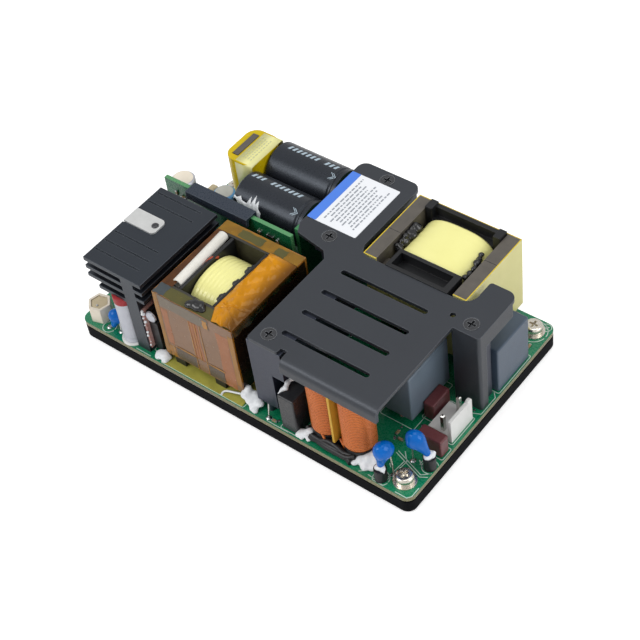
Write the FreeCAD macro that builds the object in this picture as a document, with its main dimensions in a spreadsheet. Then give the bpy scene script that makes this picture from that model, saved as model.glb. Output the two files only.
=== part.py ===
import FreeCAD
import Part
import Sketcher
import math
import os

# Open frame power supply: a circuit board on a black base plate, with heat sinks,
# wound parts, capacitors and a folded cover plate over the input side.
# Millimetres, +Z up, origin at the centre of the underside of the base plate.
# +X runs along the long edge towards the mains input, +Y towards the far long edge.

os.makedirs("parts", exist_ok=True)
doc = FreeCAD.newDocument("PowerSupply")
sheet = doc.addObject("Spreadsheet::Sheet", "Sizes")
names = []
parts = []


class Size:
    """A length: its formula in the names of the sheet, and its value."""

    def __init__(self, formula, value):
        self.formula = formula
        self.value = value

    def joined(self, sign, other, value):
        return Size("(%s %s %s)" % (self.formula, sign, text(other)), value)

    def __add__(self, other):
        return self.joined("+", other, self.value + number(other))

    def __radd__(self, other):
        return self + other

    def __sub__(self, other):
        return self.joined("-", other, self.value - number(other))

    def __rsub__(self, other):
        return -self + other

    def __mul__(self, other):
        return self.joined("*", other, self.value * number(other))

    def __rmul__(self, other):
        return self * other

    def __truediv__(self, other):
        return self.joined("/", other, self.value / number(other))

    def __neg__(self):
        return Size("(0 - %s)" % self.formula, -self.value)


def number(length):
    return length.value if isinstance(length, Size) else length


def text(length):
    return length.formula if isinstance(length, Size) else "%.9g" % length


def size(name, value):
    """One driving dimension: a plain number in the sheet, with its name as alias."""
    names.append(name)
    row = len(names)
    sheet.set("A%d" % row, name)
    sheet.set("B%d" % row, str(value))
    sheet.setAlias("B%d" % row, name)
    sheet.recompute()
    return Size("Sizes." + name, float(sheet.get(name)))


def bind(item, path, length):
    item.setExpression(path, text(length))


def new_body(name):
    """A sub-part made from sketches and features."""
    made = doc.addObject("PartDesign::Body", name)
    made.Label = name
    parts.append(made)
    return made


def place(item, x=0, y=0, z=0, axis=(0, 0, 1), turn=0):
    rotation = FreeCAD.Rotation(FreeCAD.Vector(*axis), turn)
    item.Placement = FreeCAD.Placement(FreeCAD.Vector(number(x), number(y), number(z)), rotation)
    bind(item, "Placement.Base.x", x)
    bind(item, "Placement.Base.y", y)
    bind(item, "Placement.Base.z", z)


def sketch(owner, plane="XY_Plane", offset=0):
    """A sketch on an origin plane of its body, moved along the plane's normal."""
    made = owner.newObject("Sketcher::SketchObject", owner.Name + "_sketch")
    origin_plane = [item for item in owner.Origin.OriginFeatures if item.Role == plane][0]
    made.AttachmentSupport = (origin_plane, [""])
    made.MapMode = "FlatFace"
    made.AttachmentOffset.Base = FreeCAD.Vector(0, 0, number(offset))
    bind(made, "AttachmentOffset.Base.z", offset)
    return made


def fix(drawing, item, point, x, y):
    """Holds one point of a sketch at two lengths from the origin."""
    for kind, length in (("DistanceX", x), ("DistanceY", y)):
        index = drawing.addConstraint(Sketcher.Constraint(kind, -1, 1, item, point, number(length)))
        bind(drawing, "Constraints[%d]" % index, length)


def polygon(drawing, corners):
    first = drawing.GeometryCount
    count = len(corners)
    for i in range(count):
        a = corners[i]
        b = corners[(i + 1) % count]
        start = FreeCAD.Vector(number(a[0]), number(a[1]), 0)
        end = FreeCAD.Vector(number(b[0]), number(b[1]), 0)
        drawing.addGeometry(Part.LineSegment(start, end))
    for i in range(count):
        following = first + (i + 1) % count
        drawing.addConstraint(Sketcher.Constraint("Coincident", first + i, 2, following, 1))
    for i in range(count):
        fix(drawing, first + i, 1, corners[i][0], corners[i][1])


def rectangle(drawing, x0, x1, y0, y1):
    polygon(drawing, [(x0, y0), (x1, y0), (x1, y1), (x0, y1)])


def circle(drawing, x, y, radius):
    centre = FreeCAD.Vector(number(x), number(y), 0)
    item = drawing.addGeometry(Part.Circle(centre, FreeCAD.Vector(0, 0, 1), number(radius)))
    index = drawing.addConstraint(Sketcher.Constraint("Radius", item, number(radius)))
    bind(drawing, "Constraints[%d]" % index, radius)
    fix(drawing, item, 3, x, y)


def slot(drawing, x0, x1, y, width):
    """A slot with round ends, its end centres at x0 and x1."""
    radius = width / 2
    r = number(radius)
    left = FreeCAD.Vector(number(x0), number(y), 0)
    right = FreeCAD.Vector(number(x1), number(y), 0)
    up = FreeCAD.Vector(0, r, 0)
    normal = FreeCAD.Vector(0, 0, 1)
    quarter = math.pi / 2
    first = drawing.GeometryCount
    drawing.addGeometry(Part.LineSegment(left - up, right - up))
    drawing.addGeometry(Part.ArcOfCircle(Part.Circle(right, normal, r), -quarter, quarter))
    drawing.addGeometry(Part.LineSegment(right + up, left + up))
    drawing.addGeometry(Part.ArcOfCircle(Part.Circle(left, normal, r), quarter, 3 * quarter))
    drawing.addConstraint(Sketcher.Constraint("Tangent", first, 2, first + 1, 1))
    drawing.addConstraint(Sketcher.Constraint("Tangent", first + 1, 2, first + 2, 1))
    drawing.addConstraint(Sketcher.Constraint("Tangent", first + 2, 2, first + 3, 1))
    drawing.addConstraint(Sketcher.Constraint("Tangent", first + 3, 2, first, 1))
    drawing.addConstraint(Sketcher.Constraint("Equal", first + 1, first + 3))
    index = drawing.addConstraint(Sketcher.Constraint("Radius", first + 1, r))
    bind(drawing, "Constraints[%d]" % index, radius)
    fix(drawing, first + 1, 3, x1, y)
    fix(drawing, first + 3, 3, x0, y)


def pad(owner, drawing, length, backwards=False):
    made = owner.newObject("PartDesign::Pad", owner.Name + "_pad")
    made.Profile = drawing
    made.Reversed = backwards
    bind(made, "Length", length)
    drawing.Visibility = False
    doc.recompute()
    return made


def pocket(owner, drawing, depth, backwards=False):
    """A cut; the volume shows that it cut something."""
    before = owner.Shape.Volume
    made = owner.newObject("PartDesign::Pocket", owner.Name + "_pocket")
    made.Profile = drawing
    made.Reversed = backwards
    bind(made, "Length", depth)
    doc.recompute()
    if owner.Shape.Volume >= before:
        raise RuntimeError("the cut in %s removes nothing" % owner.Name)
    return made


def revolve(owner, drawing):
    made = owner.newObject("PartDesign::Revolution", owner.Name + "_turned")
    made.Profile = drawing
    made.ReferenceAxis = (drawing, ["V_Axis"])
    made.Angle = 360
    doc.recompute()
    return made


def edge_names(shape, test):
    return ["Edge%d" % (i + 1) for i, edge in enumerate(shape.Edges) if test(edge)]


def fillet(owner, test, radius):
    """Rounds the edges of the body so far that pass the test."""
    base = owner.Tip
    made = owner.newObject("PartDesign::Fillet", owner.Name + "_fillet")
    made.Base = (base, edge_names(base.Shape, test))
    made.Radius = number(radius)
    bind(made, "Radius", radius)
    doc.recompute()
    return made


def chamfer(owner, test, width):
    base = owner.Tip
    made = owner.newObject("PartDesign::Chamfer", owner.Name + "_chamfer")
    made.Base = (base, edge_names(base.Shape, test))
    made.Size = number(width)
    bind(made, "Size", width)
    doc.recompute()
    return made


def upright(edge):
    box = edge.BoundBox
    return box.XLength < 1e-6 and box.YLength < 1e-6


def along_y(edge):
    box = edge.BoundBox
    return box.XLength < 1e-6 and box.ZLength < 1e-6


def level_with(height):
    """A test for edges that lie wholly at one height."""
    def test(edge):
        box = edge.BoundBox
        return abs(box.ZMin - number(height)) < 1e-6 and abs(box.ZMax - number(height)) < 1e-6
    return test


def upright_at(places):
    """A test for upright edges that stand at one of the given places."""
    def test(edge):
        box = edge.BoundBox
        near = [abs(box.XMin - number(x)) + abs(box.YMin - number(y)) < 1e-4 for x, y in places]
        return upright(edge) and any(near)
    return test


def round_at(places, height):
    """A test for circles about the given places that lie at one height."""
    def test(edge):
        box = edge.BoundBox
        middle = box.Center
        near = [abs(middle.x - number(x)) + abs(middle.y - number(y)) < 1e-4 for x, y in places]
        return box.ZLength < 1e-6 and abs(box.ZMin - number(height)) < 1e-6 and any(near)
    return test


def every_edge(edge):
    return True


def block(name, x0, x1, y0, y1, z0, z1, radius=None, test=every_edge):
    """A moulded block between six planes, with rounded edges."""
    owner = new_body(name)
    drawing = sketch(owner, "XY_Plane", z0)
    rectangle(drawing, x0, x1, y0, y1)
    pad(owner, drawing, z1 - z0)
    if radius is not None:
        fillet(owner, test, radius)
    return owner


def leads(owner, places, radius, z0, z1):
    """Round leads that run from the board into the underside of a body."""
    drawing = sketch(owner, "XY_Plane", z0)
    for x, y in places:
        circle(drawing, x, y, radius)
    pad(owner, drawing, z1 - z0)


def turned(name, profile, x, y, z, axis=(0, 0, 1), turn=0):
    """A turned piece: its profile of radius and height, about its own upright axis."""
    owner = new_body(name)
    drawing = sketch(owner, "XZ_Plane")
    polygon(drawing, profile)
    revolve(owner, drawing)
    place(owner, x, y, z, axis, turn)
    return owner


def extruded_along_y(name, section, y0, y1):
    """A bar with one section in X and Z, running from y0 to y1."""
    owner = new_body(name)
    drawing = sketch(owner, "XZ_Plane", -y0)
    polygon(drawing, section)
    pad(owner, drawing, y1 - y0, True)
    return owner


def extruded_along_x(name, section, x0, x1):
    """A bar with one section in Y and Z, running from x0 to x1."""
    owner = new_body(name)
    drawing = sketch(owner, "YZ_Plane", x0)
    polygon(drawing, section)
    pad(owner, drawing, x1 - x0)
    return owner

# Sizes: board and base plate
board_length = size("board_length", 127.0)
board_width = size("board_width", 76.2)
board_thickness = size("board_thickness", 1.6)
board_corner = size("board_corner", 3.0)
base_thickness = size("base_thickness", 5.0)
base_edge = size("base_edge", 0.9)
base_step = size("base_step", 0.6)
base_notch_length = size("base_notch_length", 11.7)
base_notch_width = size("base_notch_width", 18.3)
board_gap = size("board_gap", 0.5)
output_span = size("output_span", 70.8)
hole_inset = size("hole_inset", 5.08)
boss_radius = size("boss_radius", 3.8)
bore_radius = size("bore_radius", 1.25)
bore_depth = size("bore_depth", 2.2)
upper_bore_radius = size("upper_bore_radius", 1.5)
board_hole_radius = size("board_hole_radius", 1.6)
seat_clearance = size("seat_clearance", 0.2)

# Sizes: white heat conducting film between the plate and the board
film_left = size("film_left", 19.5)
film_length = size("film_length", 46.0)
film_depth = size("film_depth", 60.0)

# Sizes: corner screws
washer_radius = size("washer_radius", 3.5)
washer_thickness = size("washer_thickness", 0.5)
spring_washer_radius = size("spring_washer_radius", 2.9)
spring_washer_thickness = size("spring_washer_thickness", 0.8)
head_radius = size("head_radius", 2.75)
head_height = size("head_height", 1.9)
head_round = size("head_round", 0.8)
thread_clearance = size("thread_clearance", 0.05)
thread_engagement = size("thread_engagement", 1.9)
recess_width = size("recess_width", 0.7)
recess_length = size("recess_length", 2.8)
recess_depth = size("recess_depth", 1.0)

# Sizes: white hexagonal cup over the front left hole
cup_across = size("cup_across", 6.7)
cup_height = size("cup_height", 6.1)
cup_wall = size("cup_wall", 0.75)
cup_depth = size("cup_depth", 0.6)
cup_turn = size("cup_turn", 14.0)

# Sizes: cover plate over the input side
cover_thickness = size("cover_thickness", 1.2)
cover_height = size("cover_height", 31.0)
cover_left = size("cover_left", 56.2)
cover_front = size("cover_front", 3.6)
tab_length = size("tab_length", 10.9)
lip_gap = size("lip_gap", 2.4)
lip_gap_depth = size("lip_gap_depth", 2.0)
lip_break = size("lip_break", 4.0)
lip_reach = size("lip_reach", 2.8)
lip_drop = size("lip_drop", 4.7)
bend_radius = size("bend_radius", 1.2)
cover_right = size("cover_right", 9.7)
arm_front = size("arm_front", 37.3)
arm_side = size("arm_side", 0.9)
arm_width = size("arm_width", 9.2)
arm_depth = size("arm_depth", 19.8)
arm_stand = size("arm_stand", 10.3)
neck_right = size("neck_right", 49.6)
neck_width = size("neck_width", 22.1)
neck_overhang = size("neck_overhang", 3.1)
neck_rise = size("neck_rise", 0.8)
neck_cut = size("neck_cut", 3.5)
neck_cut_length = size("neck_cut_length", 1.9)
cover_step_back = size("cover_step_back", 4.7)
cover_step_x = size("cover_step_x", 2.3)
cover_step_y = size("cover_step_y", 2.7)
outer_round = size("outer_round", 3.0)
inner_round = size("inner_round", 4.0)
small_round = size("small_round", 1.0)
wall_length = size("wall_length", 3.3)
skirt_drop = size("skirt_drop", 6.0)
slot_length = size("slot_length", 28.5)
slot_width = size("slot_width", 1.8)
slot_pitch = size("slot_pitch", 9.13)
slot_inset_x = size("slot_inset_x", 8.2)
slot_inset_y = size("slot_inset_y", 7.1)
cover_hole_radius = size("cover_hole_radius", 1.6)
sink_width = size("sink_width", 0.9)
witness_radius = size("witness_radius", 0.9)
front_screw_x = size("front_screw_x", 4.7)
front_screw_y = size("front_screw_y", 4.3)
middle_screw_x = size("middle_screw_x", 11.1)
middle_screw_y = size("middle_screw_y", 0.1)
rear_screw_x = size("rear_screw_x", 11.5)
rear_screw_y = size("rear_screw_y", 3.2)
side_screw_x = size("side_screw_x", 5.0)
side_screw_y = size("side_screw_y", 3.8)
witness_x = size("witness_x", 2.5)
witness_y = size("witness_y", 3.9)

# Sizes: countersunk screws of the cover
cover_screw_length = size("cover_screw_length", 7.0)

# Sizes: extruded bars that carry the cover and cool what is screwed to them
bar_outset = size("bar_outset", 0.5)
bar_setback = size("bar_setback", 0.1)
bar_length = size("bar_length", 34.4)
bar_width = size("bar_width", 12.1)
bar_block = size("bar_block", 11.3)
web_width = size("web_width", 7.7)
bar_lift = size("bar_lift", 3.6)
bar_pin_radius = size("bar_pin_radius", 0.9)
bar_pin_inset = size("bar_pin_inset", 1.2)
rear_bar_inset = size("rear_bar_inset", 1.3)
rear_bar_width = size("rear_bar_width", 14.1)
rear_bar_start = size("rear_bar_start", 1.3)
rear_bar_end = size("rear_bar_end", 1.2)
rear_bar_flange = size("rear_bar_flange", 4.8)
rear_web_inset = size("rear_web_inset", 2.3)
rear_web_width = size("rear_web_width", 4.7)
rear_pin_inset = size("rear_pin_inset", 3.0)
post_width = size("post_width", 6.7)
post_depth = size("post_depth", 5.9)

# Sizes: relay beside the front bar
relay_x = size("relay_x", 40.3)
relay_y = size("relay_y", 1.2)
relay_width = size("relay_width", 5.8)
relay_length = size("relay_length", 15.1)
relay_height = size("relay_height", 14.5)
case_round = size("case_round", 0.5)

# Sizes: common mode choke
choke_x = size("choke_x", 27.8)
choke_y = size("choke_y", 7.6)
choke_pitch = size("choke_pitch", 11.2)
coil_radius = size("coil_radius", 5.1)
coil_bore = size("coil_bore", 3.3)
coil_start = size("coil_start", 4.0)
coil_length = size("coil_length", 20.0)
coil_round = size("coil_round", 0.4)
choke_leg = size("choke_leg", 4.4)
choke_yoke = size("choke_yoke", 2.8)
choke_lift = size("choke_lift", 0.3)
choke_bridge = size("choke_bridge", 6.8)
divider_width = size("divider_width", 10.0)
divider_thickness = size("divider_thickness", 0.8)

# Sizes: two suppression capacitors in cases
lead_radius = size("lead_radius", 0.4)
lead_inset = size("lead_inset", 2.5)
x_capacitor_x = size("x_capacitor_x", 14.0)
x_capacitor_y = size("x_capacitor_y", 21.4)
x_capacitor_width = size("x_capacitor_width", 11.0)
x_capacitor_length = size("x_capacitor_length", 19.0)
x_capacitor_height = size("x_capacitor_height", 18.0)
x_capacitor_lift = size("x_capacitor_lift", 3.0)
side_capacitor_gap = size("side_capacitor_gap", 1.2)
side_capacitor_x = size("side_capacitor_x", 0.8)
side_capacitor_width = size("side_capacitor_width", 9.7)
side_capacitor_length = size("side_capacitor_length", 16.1)
side_capacitor_height = size("side_capacitor_height", 17.6)

# Sizes: fuses in cases
fuse_length = size("fuse_length", 8.3)
fuse_width = size("fuse_width", 3.7)
fuse_height = size("fuse_height", 6.6)
fuse_front_x = size("fuse_front_x", 0.9)
fuse_front_y = size("fuse_front_y", 17.0)
fuse_side_x = size("fuse_side_x", 10.2)
fuse_side_y = size("fuse_side_y", 26.7)

# Sizes: mains input header with its two pins
header_x = size("header_x", 1.6)
header_y = size("header_y", 23.0)
header_width = size("header_width", 8.0)
header_length = size("header_length", 10.5)
header_floor = size("header_floor", 2.8)
header_height = size("header_height", 9.0)
header_wall = size("header_wall", 1.0)
pin_pitch = size("pin_pitch", 7.92)
pin_side = size("pin_side", 1.14)
pin_height = size("pin_height", 8.9)
pin_inset = size("pin_inset", 3.6)
pin_point = size("pin_point", 0.3)

# Sizes: small dipped disc capacitors on two leads
disc_radius = size("disc_radius", 3.5)
disc_thickness = size("disc_thickness", 3.2)
disc_lead_pitch = size("disc_lead_pitch", 4.0)
front_disc_x = size("front_disc_x", 11.0)
front_disc_y = size("front_disc_y", 5.2)
front_disc_height = size("front_disc_height", 11.0)
side_disc_x = size("side_disc_x", 5.5)
side_disc_y = size("side_disc_y", 9.8)
side_disc_height = size("side_disc_height", 10.8)
output_disc_x = size("output_disc_x", 13.4)
output_disc_y = size("output_disc_y", 4.2)
output_disc_radius = size("output_disc_radius", 2.9)
output_disc_height = size("output_disc_height", 5.0)
bead_radius = size("bead_radius", 1.9)
bead_bore = size("bead_bore", 0.5)
bead_height = size("bead_height", 4.7)
front_bead_x = size("front_bead_x", 11.2)
front_bead_y = size("front_bead_y", 2.1)
side_bead_x = size("side_bead_x", 2.0)
side_bead_y = size("side_bead_y", 12.8)

# Sizes: left heat sink
sink_x = size("sink_x", 8.8)
sink_y = size("sink_y", 1.7)
sink_length = size("sink_length", 35.2)
sink_plate_width = size("sink_plate_width", 22.9)
sink_plate = size("sink_plate", 1.4)
sink_rise = size("sink_rise", 11.7)
sink_leg_x = size("sink_leg_x", 14.7)
sink_leg_width = size("sink_leg_width", 4.9)
fin_thickness = size("fin_thickness", 1.3)
fin_pitch = size("fin_pitch", 3.4)
fin_start = size("fin_start", 4.0)
low_fin_cut = size("low_fin_cut", 3.7)
groove_width = size("groove_width", 0.6)
groove_depth = size("groove_depth", 0.4)
groove_pitch = size("groove_pitch", 4.3)
groove_inset = size("groove_inset", 0.8)
groove_length = size("groove_length", 17.8)
front_groove = size("front_groove", 4.7)
back_groove = size("back_groove", 2.3)

# Sizes: spring strap through a notch in its left edge
clip_y = size("clip_y", 17.9)
clip_width = size("clip_width", 6.3)
clip_length = size("clip_length", 11.9)
clip_thickness = size("clip_thickness", 0.6)
clip_leg = size("clip_leg", 3.0)
clip_notch = size("clip_notch", 1.0)
clip_round = size("clip_round", 1.5)
rivet_radius = size("rivet_radius", 0.8)
rivet_inset = size("rivet_inset", 1.8)

# Sizes: power transistor on an insulating strip against the leg
strip_thickness = size("strip_thickness", 0.8)
strip_start = size("strip_start", 0.6)
strip_length = size("strip_length", 16.0)
strip_lift = size("strip_lift", 2.0)
strip_height = size("strip_height", 16.6)
transistor_width = size("transistor_width", 10.0)
transistor_depth = size("transistor_depth", 3.4)
transistor_start = size("transistor_start", 1.9)
transistor_lift = size("transistor_lift", 1.3)
transistor_height = size("transistor_height", 12.0)
transistor_tab = size("transistor_tab", 1.3)
tab_height = size("tab_height", 4.3)

# Sizes: upright output capacitors under the fins
can_groove = size("can_groove", 0.35)
can_bead = size("can_bead", 1.2)
can_crown = size("can_crown", 0.5)
can_radius = size("can_radius", 3.4)
can_height = size("can_height", 19.5)
can_pitch = size("can_pitch", 7.4)
can_start = size("can_start", 2.3)

# Sizes: main transformer
transformer_x = size("transformer_x", 35.0)
transformer_y = size("transformer_y", 3.1)
transformer_length = size("transformer_length", 30.3)
transformer_width = size("transformer_width", 34.6)
transformer_lift = size("transformer_lift", 3.0)
transformer_height = size("transformer_height", 27.0)
tape_thickness = size("tape_thickness", 0.3)
transformer_leg = size("transformer_leg", 4.7)
transformer_yoke = size("transformer_yoke", 4.6)
yoke_drop = size("yoke_drop", 4.5)
transformer_centre = size("transformer_centre", 6.0)
bobbin_wall = size("bobbin_wall", 1.2)
bobbin_clearance = size("bobbin_clearance", 0.2)
transformer_winding_radius = size("transformer_winding_radius", 11.8)
flange_left_start = size("flange_left_start", 5.8)
flange_right_start = size("flange_right_start", 18.9)
rail_width = size("rail_width", 4.0)
sheet_thickness = size("sheet_thickness", 0.3)
sheet_margin = size("sheet_margin", 0.8)
sheet_front = size("sheet_front", 0.5)
sleeve_radius = size("sleeve_radius", 1.8)
sleeve_length = size("sleeve_length", 23.6)
sleeve_x = size("sleeve_x", 3.0)
wrap_height = size("wrap_height", 4.2)

# Sizes: boost choke of the power factor stage
boost_x = size("boost_x", 12.0)
boost_gap = size("boost_gap", 0.7)
boost_width = size("boost_width", 36.0)
boost_depth = size("boost_depth", 28.6)
boost_lift = size("boost_lift", 4.0)
boost_height = size("boost_height", 27.0)
boost_leg = size("boost_leg", 4.3)
boost_front_yoke = size("boost_front_yoke", 5.2)
boost_back_yoke = size("boost_back_yoke", 2.6)
boost_centre = size("boost_centre", 6.5)
boost_winding_radius = size("boost_winding_radius", 13.2)
trough_width = size("trough_width", 21.5)
trough_depth = size("trough_depth", 7.6)
trough_wall = size("trough_wall", 1.2)
trough_end = size("trough_end", 2.0)
trough_rise = size("trough_rise", 0.3)
trough_shift = size("trough_shift", 1.2)
rear_rib = size("rear_rib", 1.5)
rear_lug = size("rear_lug", 2.4)
rear_rise = size("rear_rise", 0.8)

# Sizes: upright control board behind the transformer
control_x = size("control_x", 6.0)
control_y = size("control_y", 41.5)
control_length = size("control_length", 50.4)
control_thickness = size("control_thickness", 1.4)
control_height = size("control_height", 30.5)
channel_x = size("channel_x", 10.7)
channel_length = size("channel_length", 24.5)
channel_web = size("channel_web", 0.9)
channel_lip = size("channel_lip", 3.0)
channel_front = size("channel_front", 2.2)
channel_back = size("channel_back", 1.2)
channel_wall = size("channel_wall", 1.0)

# Sizes: two bulk capacitors lying on their sides
carrier_x = size("carrier_x", 54.5)
carrier_thickness = size("carrier_thickness", 1.4)
carrier_stand = size("carrier_stand", 2.8)
carrier_length = size("carrier_length", 30.3)
bulk_radius = size("bulk_radius", 8.0)
bulk_length = size("bulk_length", 26.2)
bulk_height = size("bulk_height", 23.2)
bulk_gap = size("bulk_gap", 0.1)
bulk_stand = size("bulk_stand", 3.6)

# Sizes: taped inductor at the end of the bulk capacitors
inductor_x = size("inductor_x", 15.6)
inductor_stand = size("inductor_stand", 15.6)
inductor_width = size("inductor_width", 12.1)
inductor_length = size("inductor_length", 15.5)
inductor_lift = size("inductor_lift", 2.0)
inductor_height = size("inductor_height", 31.0)
inductor_round = size("inductor_round", 4.0)
core_slot_x = size("core_slot_x", 2.2)
core_bar = size("core_bar", 2.1)
core_bar_length = size("core_bar_length", 10.5)
core_rise = size("core_rise", 0.2)

# Sizes: small parts behind the control board
filter_radius = size("filter_radius", 3.9)
filter_height = size("filter_height", 26.3)
filter_x = size("filter_x", 7.7)
filter_y = size("filter_y", 4.4)
small_can_radius = size("small_can_radius", 3.5)
small_can_height = size("small_can_height", 24.0)
small_can_x = size("small_can_x", 21.2)
small_can_y = size("small_can_y", 8.2)
film_block_x = size("film_block_x", 13.5)
film_block_y = size("film_block_y", 7.7)
film_block_width = size("film_block_width", 2.8)
film_block_length = size("film_block_length", 3.4)
film_block_height = size("film_block_height", 22.0)

sheet.recompute()

# Board and base plate

left = -board_length / 2
right = board_length / 2
front = -board_width / 2
back = board_width / 2
board_under = base_thickness + board_gap
top = board_under + board_thickness
hole_x = right - hole_inset
hole_y = back - hole_inset
corners = [(hole_x, -hole_y), (hole_x, hole_y), (-hole_x, hole_y), (-hole_x, -hole_y)]

base = new_body("base_plate")
drawing = sketch(base)
rectangle(drawing, left, right, front, back)
pad(base, drawing, base_thickness)
fillet(base, upright, board_corner)
fillet(base, level_with(0), base_edge)
drawing = sketch(base)
rectangle(drawing, left, left + base_notch_length, front, front + base_notch_width)
rectangle(drawing, right - base_notch_length, right, front, front + base_notch_width)
rectangle(drawing, right - base_notch_length, right, back - base_notch_width, back)
rectangle(drawing, left, left + base_notch_length, back - base_notch_width, back)
pocket(base, drawing, base_step, True)
drawing = sketch(base, "XY_Plane", base_thickness)
for x, y in corners:
    circle(drawing, x, y, boss_radius)
pad(base, drawing, board_gap)
drawing = sketch(base, "XY_Plane", bore_depth)
for x, y in corners:
    circle(drawing, x, y, bore_radius)
pocket(base, drawing, bore_depth)
drawing = sketch(base, "XY_Plane", board_under)
for x, y in corners:
    circle(drawing, x, y, upper_bore_radius)
pocket(base, drawing, board_under - bore_depth)

board = new_body("circuit_board")
drawing = sketch(board, "XY_Plane", board_under)
rectangle(drawing, left, right, front, back)
pad(board, drawing, board_thickness)
fillet(board, upright, board_corner)
drawing = sketch(board, "XY_Plane", top)
for x, y in corners:
    circle(drawing, x, y, board_hole_radius)
pocket(board, drawing, board_thickness)

# White heat conducting film between the plate and the board
block("thermal_film", left + film_left, left + film_left + film_length,
      front + seat_clearance, front + film_depth, base_thickness, board_under)

# Corner screws, each with its captive flat washer and spring washer


def cross_recess(owner, height):
    """A cross recess in the top of a screw, cut down from the given height."""
    w = recess_width / 2
    a = recess_length / 2
    drawing = sketch(owner, "XY_Plane", height)
    polygon(drawing, [(a, -w), (a, w), (w, w), (w, a), (-w, a), (-w, w),
                      (-a, w), (-a, -w), (-w, -w), (-w, -a), (w, -a), (w, -w)])
    pocket(owner, drawing, recess_depth)

shank_radius = upper_bore_radius - thread_clearance
shank_length = board_thickness + thread_engagement
head_start = washer_thickness + spring_washer_thickness
screw_top = head_start + head_height
screw_profile = [(0, -shank_length), (shank_radius, -shank_length), (shank_radius, 0),
                 (washer_radius, 0), (washer_radius, washer_thickness),
                 (spring_washer_radius, washer_thickness), (spring_washer_radius, head_start),
                 (head_radius, head_start), (head_radius, screw_top), (0, screw_top)]
for where, (x, y) in zip(("front_right", "back_right", "back_left"), corners):
    screw = turned("corner_screw_" + where, screw_profile, x, y, top)
    fillet(screw, level_with(screw_top), head_round)
    cross_recess(screw, screw_top)

# White hexagonal cup over the front left hole


def hexagon(drawing, x, y, radius):
    polygon(drawing, [(x + radius * math.cos(math.radians(60 * i)),
                       y + radius * math.sin(math.radians(60 * i))) for i in range(6)])

cup_radius = cup_across / math.sqrt(3)
cup_inner = (cup_across - cup_wall * 2) / math.sqrt(3)
cup = new_body("corner_cup")
drawing = sketch(cup)
hexagon(drawing, 0, 0, cup_radius)
pad(cup, drawing, cup_height)
drawing = sketch(cup, "XY_Plane", cup_height)
hexagon(drawing, 0, 0, cup_inner)
pocket(cup, drawing, cup_depth)
drawing = sketch(cup, "XY_Plane", cup_height)
circle(drawing, 0, 0, bore_radius)
pocket(cup, drawing, cup_height)
place(cup, corners[3][0], corners[3][1], top, (0, 0, 1), number(cup_turn))
bind(cup, "Placement.Rotation.Angle", cup_turn)

# Cover plate over the input side, folded from one sheet
slot_count = 4

cover_top = top + cover_height
cover_under = cover_top - cover_thickness
cover_x0 = right - cover_left
output_side = cover_x0 - output_span
cover_x1 = right - cover_right
tab_x = cover_x0 + tab_length
lip_x = tab_x + lip_gap
cover_y0 = front + cover_front
lip_y = front + lip_break
arm_x1 = right - arm_side
arm_x0 = arm_x1 - arm_width
arm_y0 = front + arm_front
arm_y1 = arm_y0 + arm_depth
waist_y = arm_y1 - arm_stand
neck_x1 = right - neck_right
neck_x0 = neck_x1 - neck_width
neck_y1 = back + neck_overhang
neck_y0 = waist_y + neck_rise
step_y = waist_y - cover_step_back

front_screw = (cover_x0 + front_screw_x, cover_y0 + front_screw_y)
middle_screw = (neck_x0 + middle_screw_x, neck_y0 + middle_screw_y)
rear_screw = (neck_x0 + rear_screw_x, neck_y1 - rear_screw_y)
side_screw = (arm_x1 - side_screw_x, arm_y0 + side_screw_y)
cover_holes = [front_screw, middle_screw, rear_screw, side_screw]

cover = new_body("cover_plate")
drawing = sketch(cover, "XY_Plane", cover_under)
polygon(drawing, [
    (cover_x0, cover_y0), (tab_x, cover_y0),
    (tab_x, cover_y0 + lip_gap_depth), (lip_x, cover_y0 + lip_gap_depth),
    (lip_x, lip_y), (cover_x1, lip_y), (cover_x1, arm_y0), (arm_x1, arm_y0),
    (arm_x1, arm_y1), (arm_x0, arm_y1), (arm_x0, waist_y), (neck_x1, waist_y),
    (neck_x1, neck_y1), (neck_x0, neck_y1), (neck_x0, neck_y0),
    (neck_x0 + neck_cut_length, neck_y0 - neck_cut),
    (cover_x0 - cover_step_x, step_y), (cover_x0, step_y - cover_step_y)])
pad(cover, drawing, cover_thickness)
fillet(cover, upright_at([(arm_x1, arm_y1), (neck_x1, neck_y1), (neck_x0, neck_y1)]), outer_round)
fillet(cover, upright_at([(arm_x0, waist_y), (neck_x1, waist_y)]), inner_round)
fillet(cover, upright_at([(cover_x0, cover_y0), (tab_x, cover_y0), (arm_x0, arm_y1),
                          (cover_x0 - cover_step_x, step_y)]), small_round)

# Its front lip, bent down
drawing = sketch(cover, "YZ_Plane", lip_x)
lip_y0 = lip_y - lip_reach
polygon(drawing, [
    (lip_y, cover_top), (lip_y0, cover_top), (lip_y0, cover_top - lip_drop),
    (lip_y0 + cover_thickness, cover_top - lip_drop),
    (lip_y0 + cover_thickness, cover_under), (lip_y, cover_under)])
pad(cover, drawing, cover_x1 - lip_x)


def bend_at(y, z):
    """A test for edges along X at one place in Y and Z."""
    def test(edge):
        box = edge.BoundBox
        flat = box.YLength < 1e-6 and box.ZLength < 1e-6
        return flat and abs(box.YMin - number(y)) + abs(box.ZMin - number(z)) < 1e-4
    return test

fillet(cover, bend_at(lip_y0, cover_top), bend_radius + cover_thickness)
fillet(cover, bend_at(lip_y0 + cover_thickness, cover_under), bend_radius)

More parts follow.
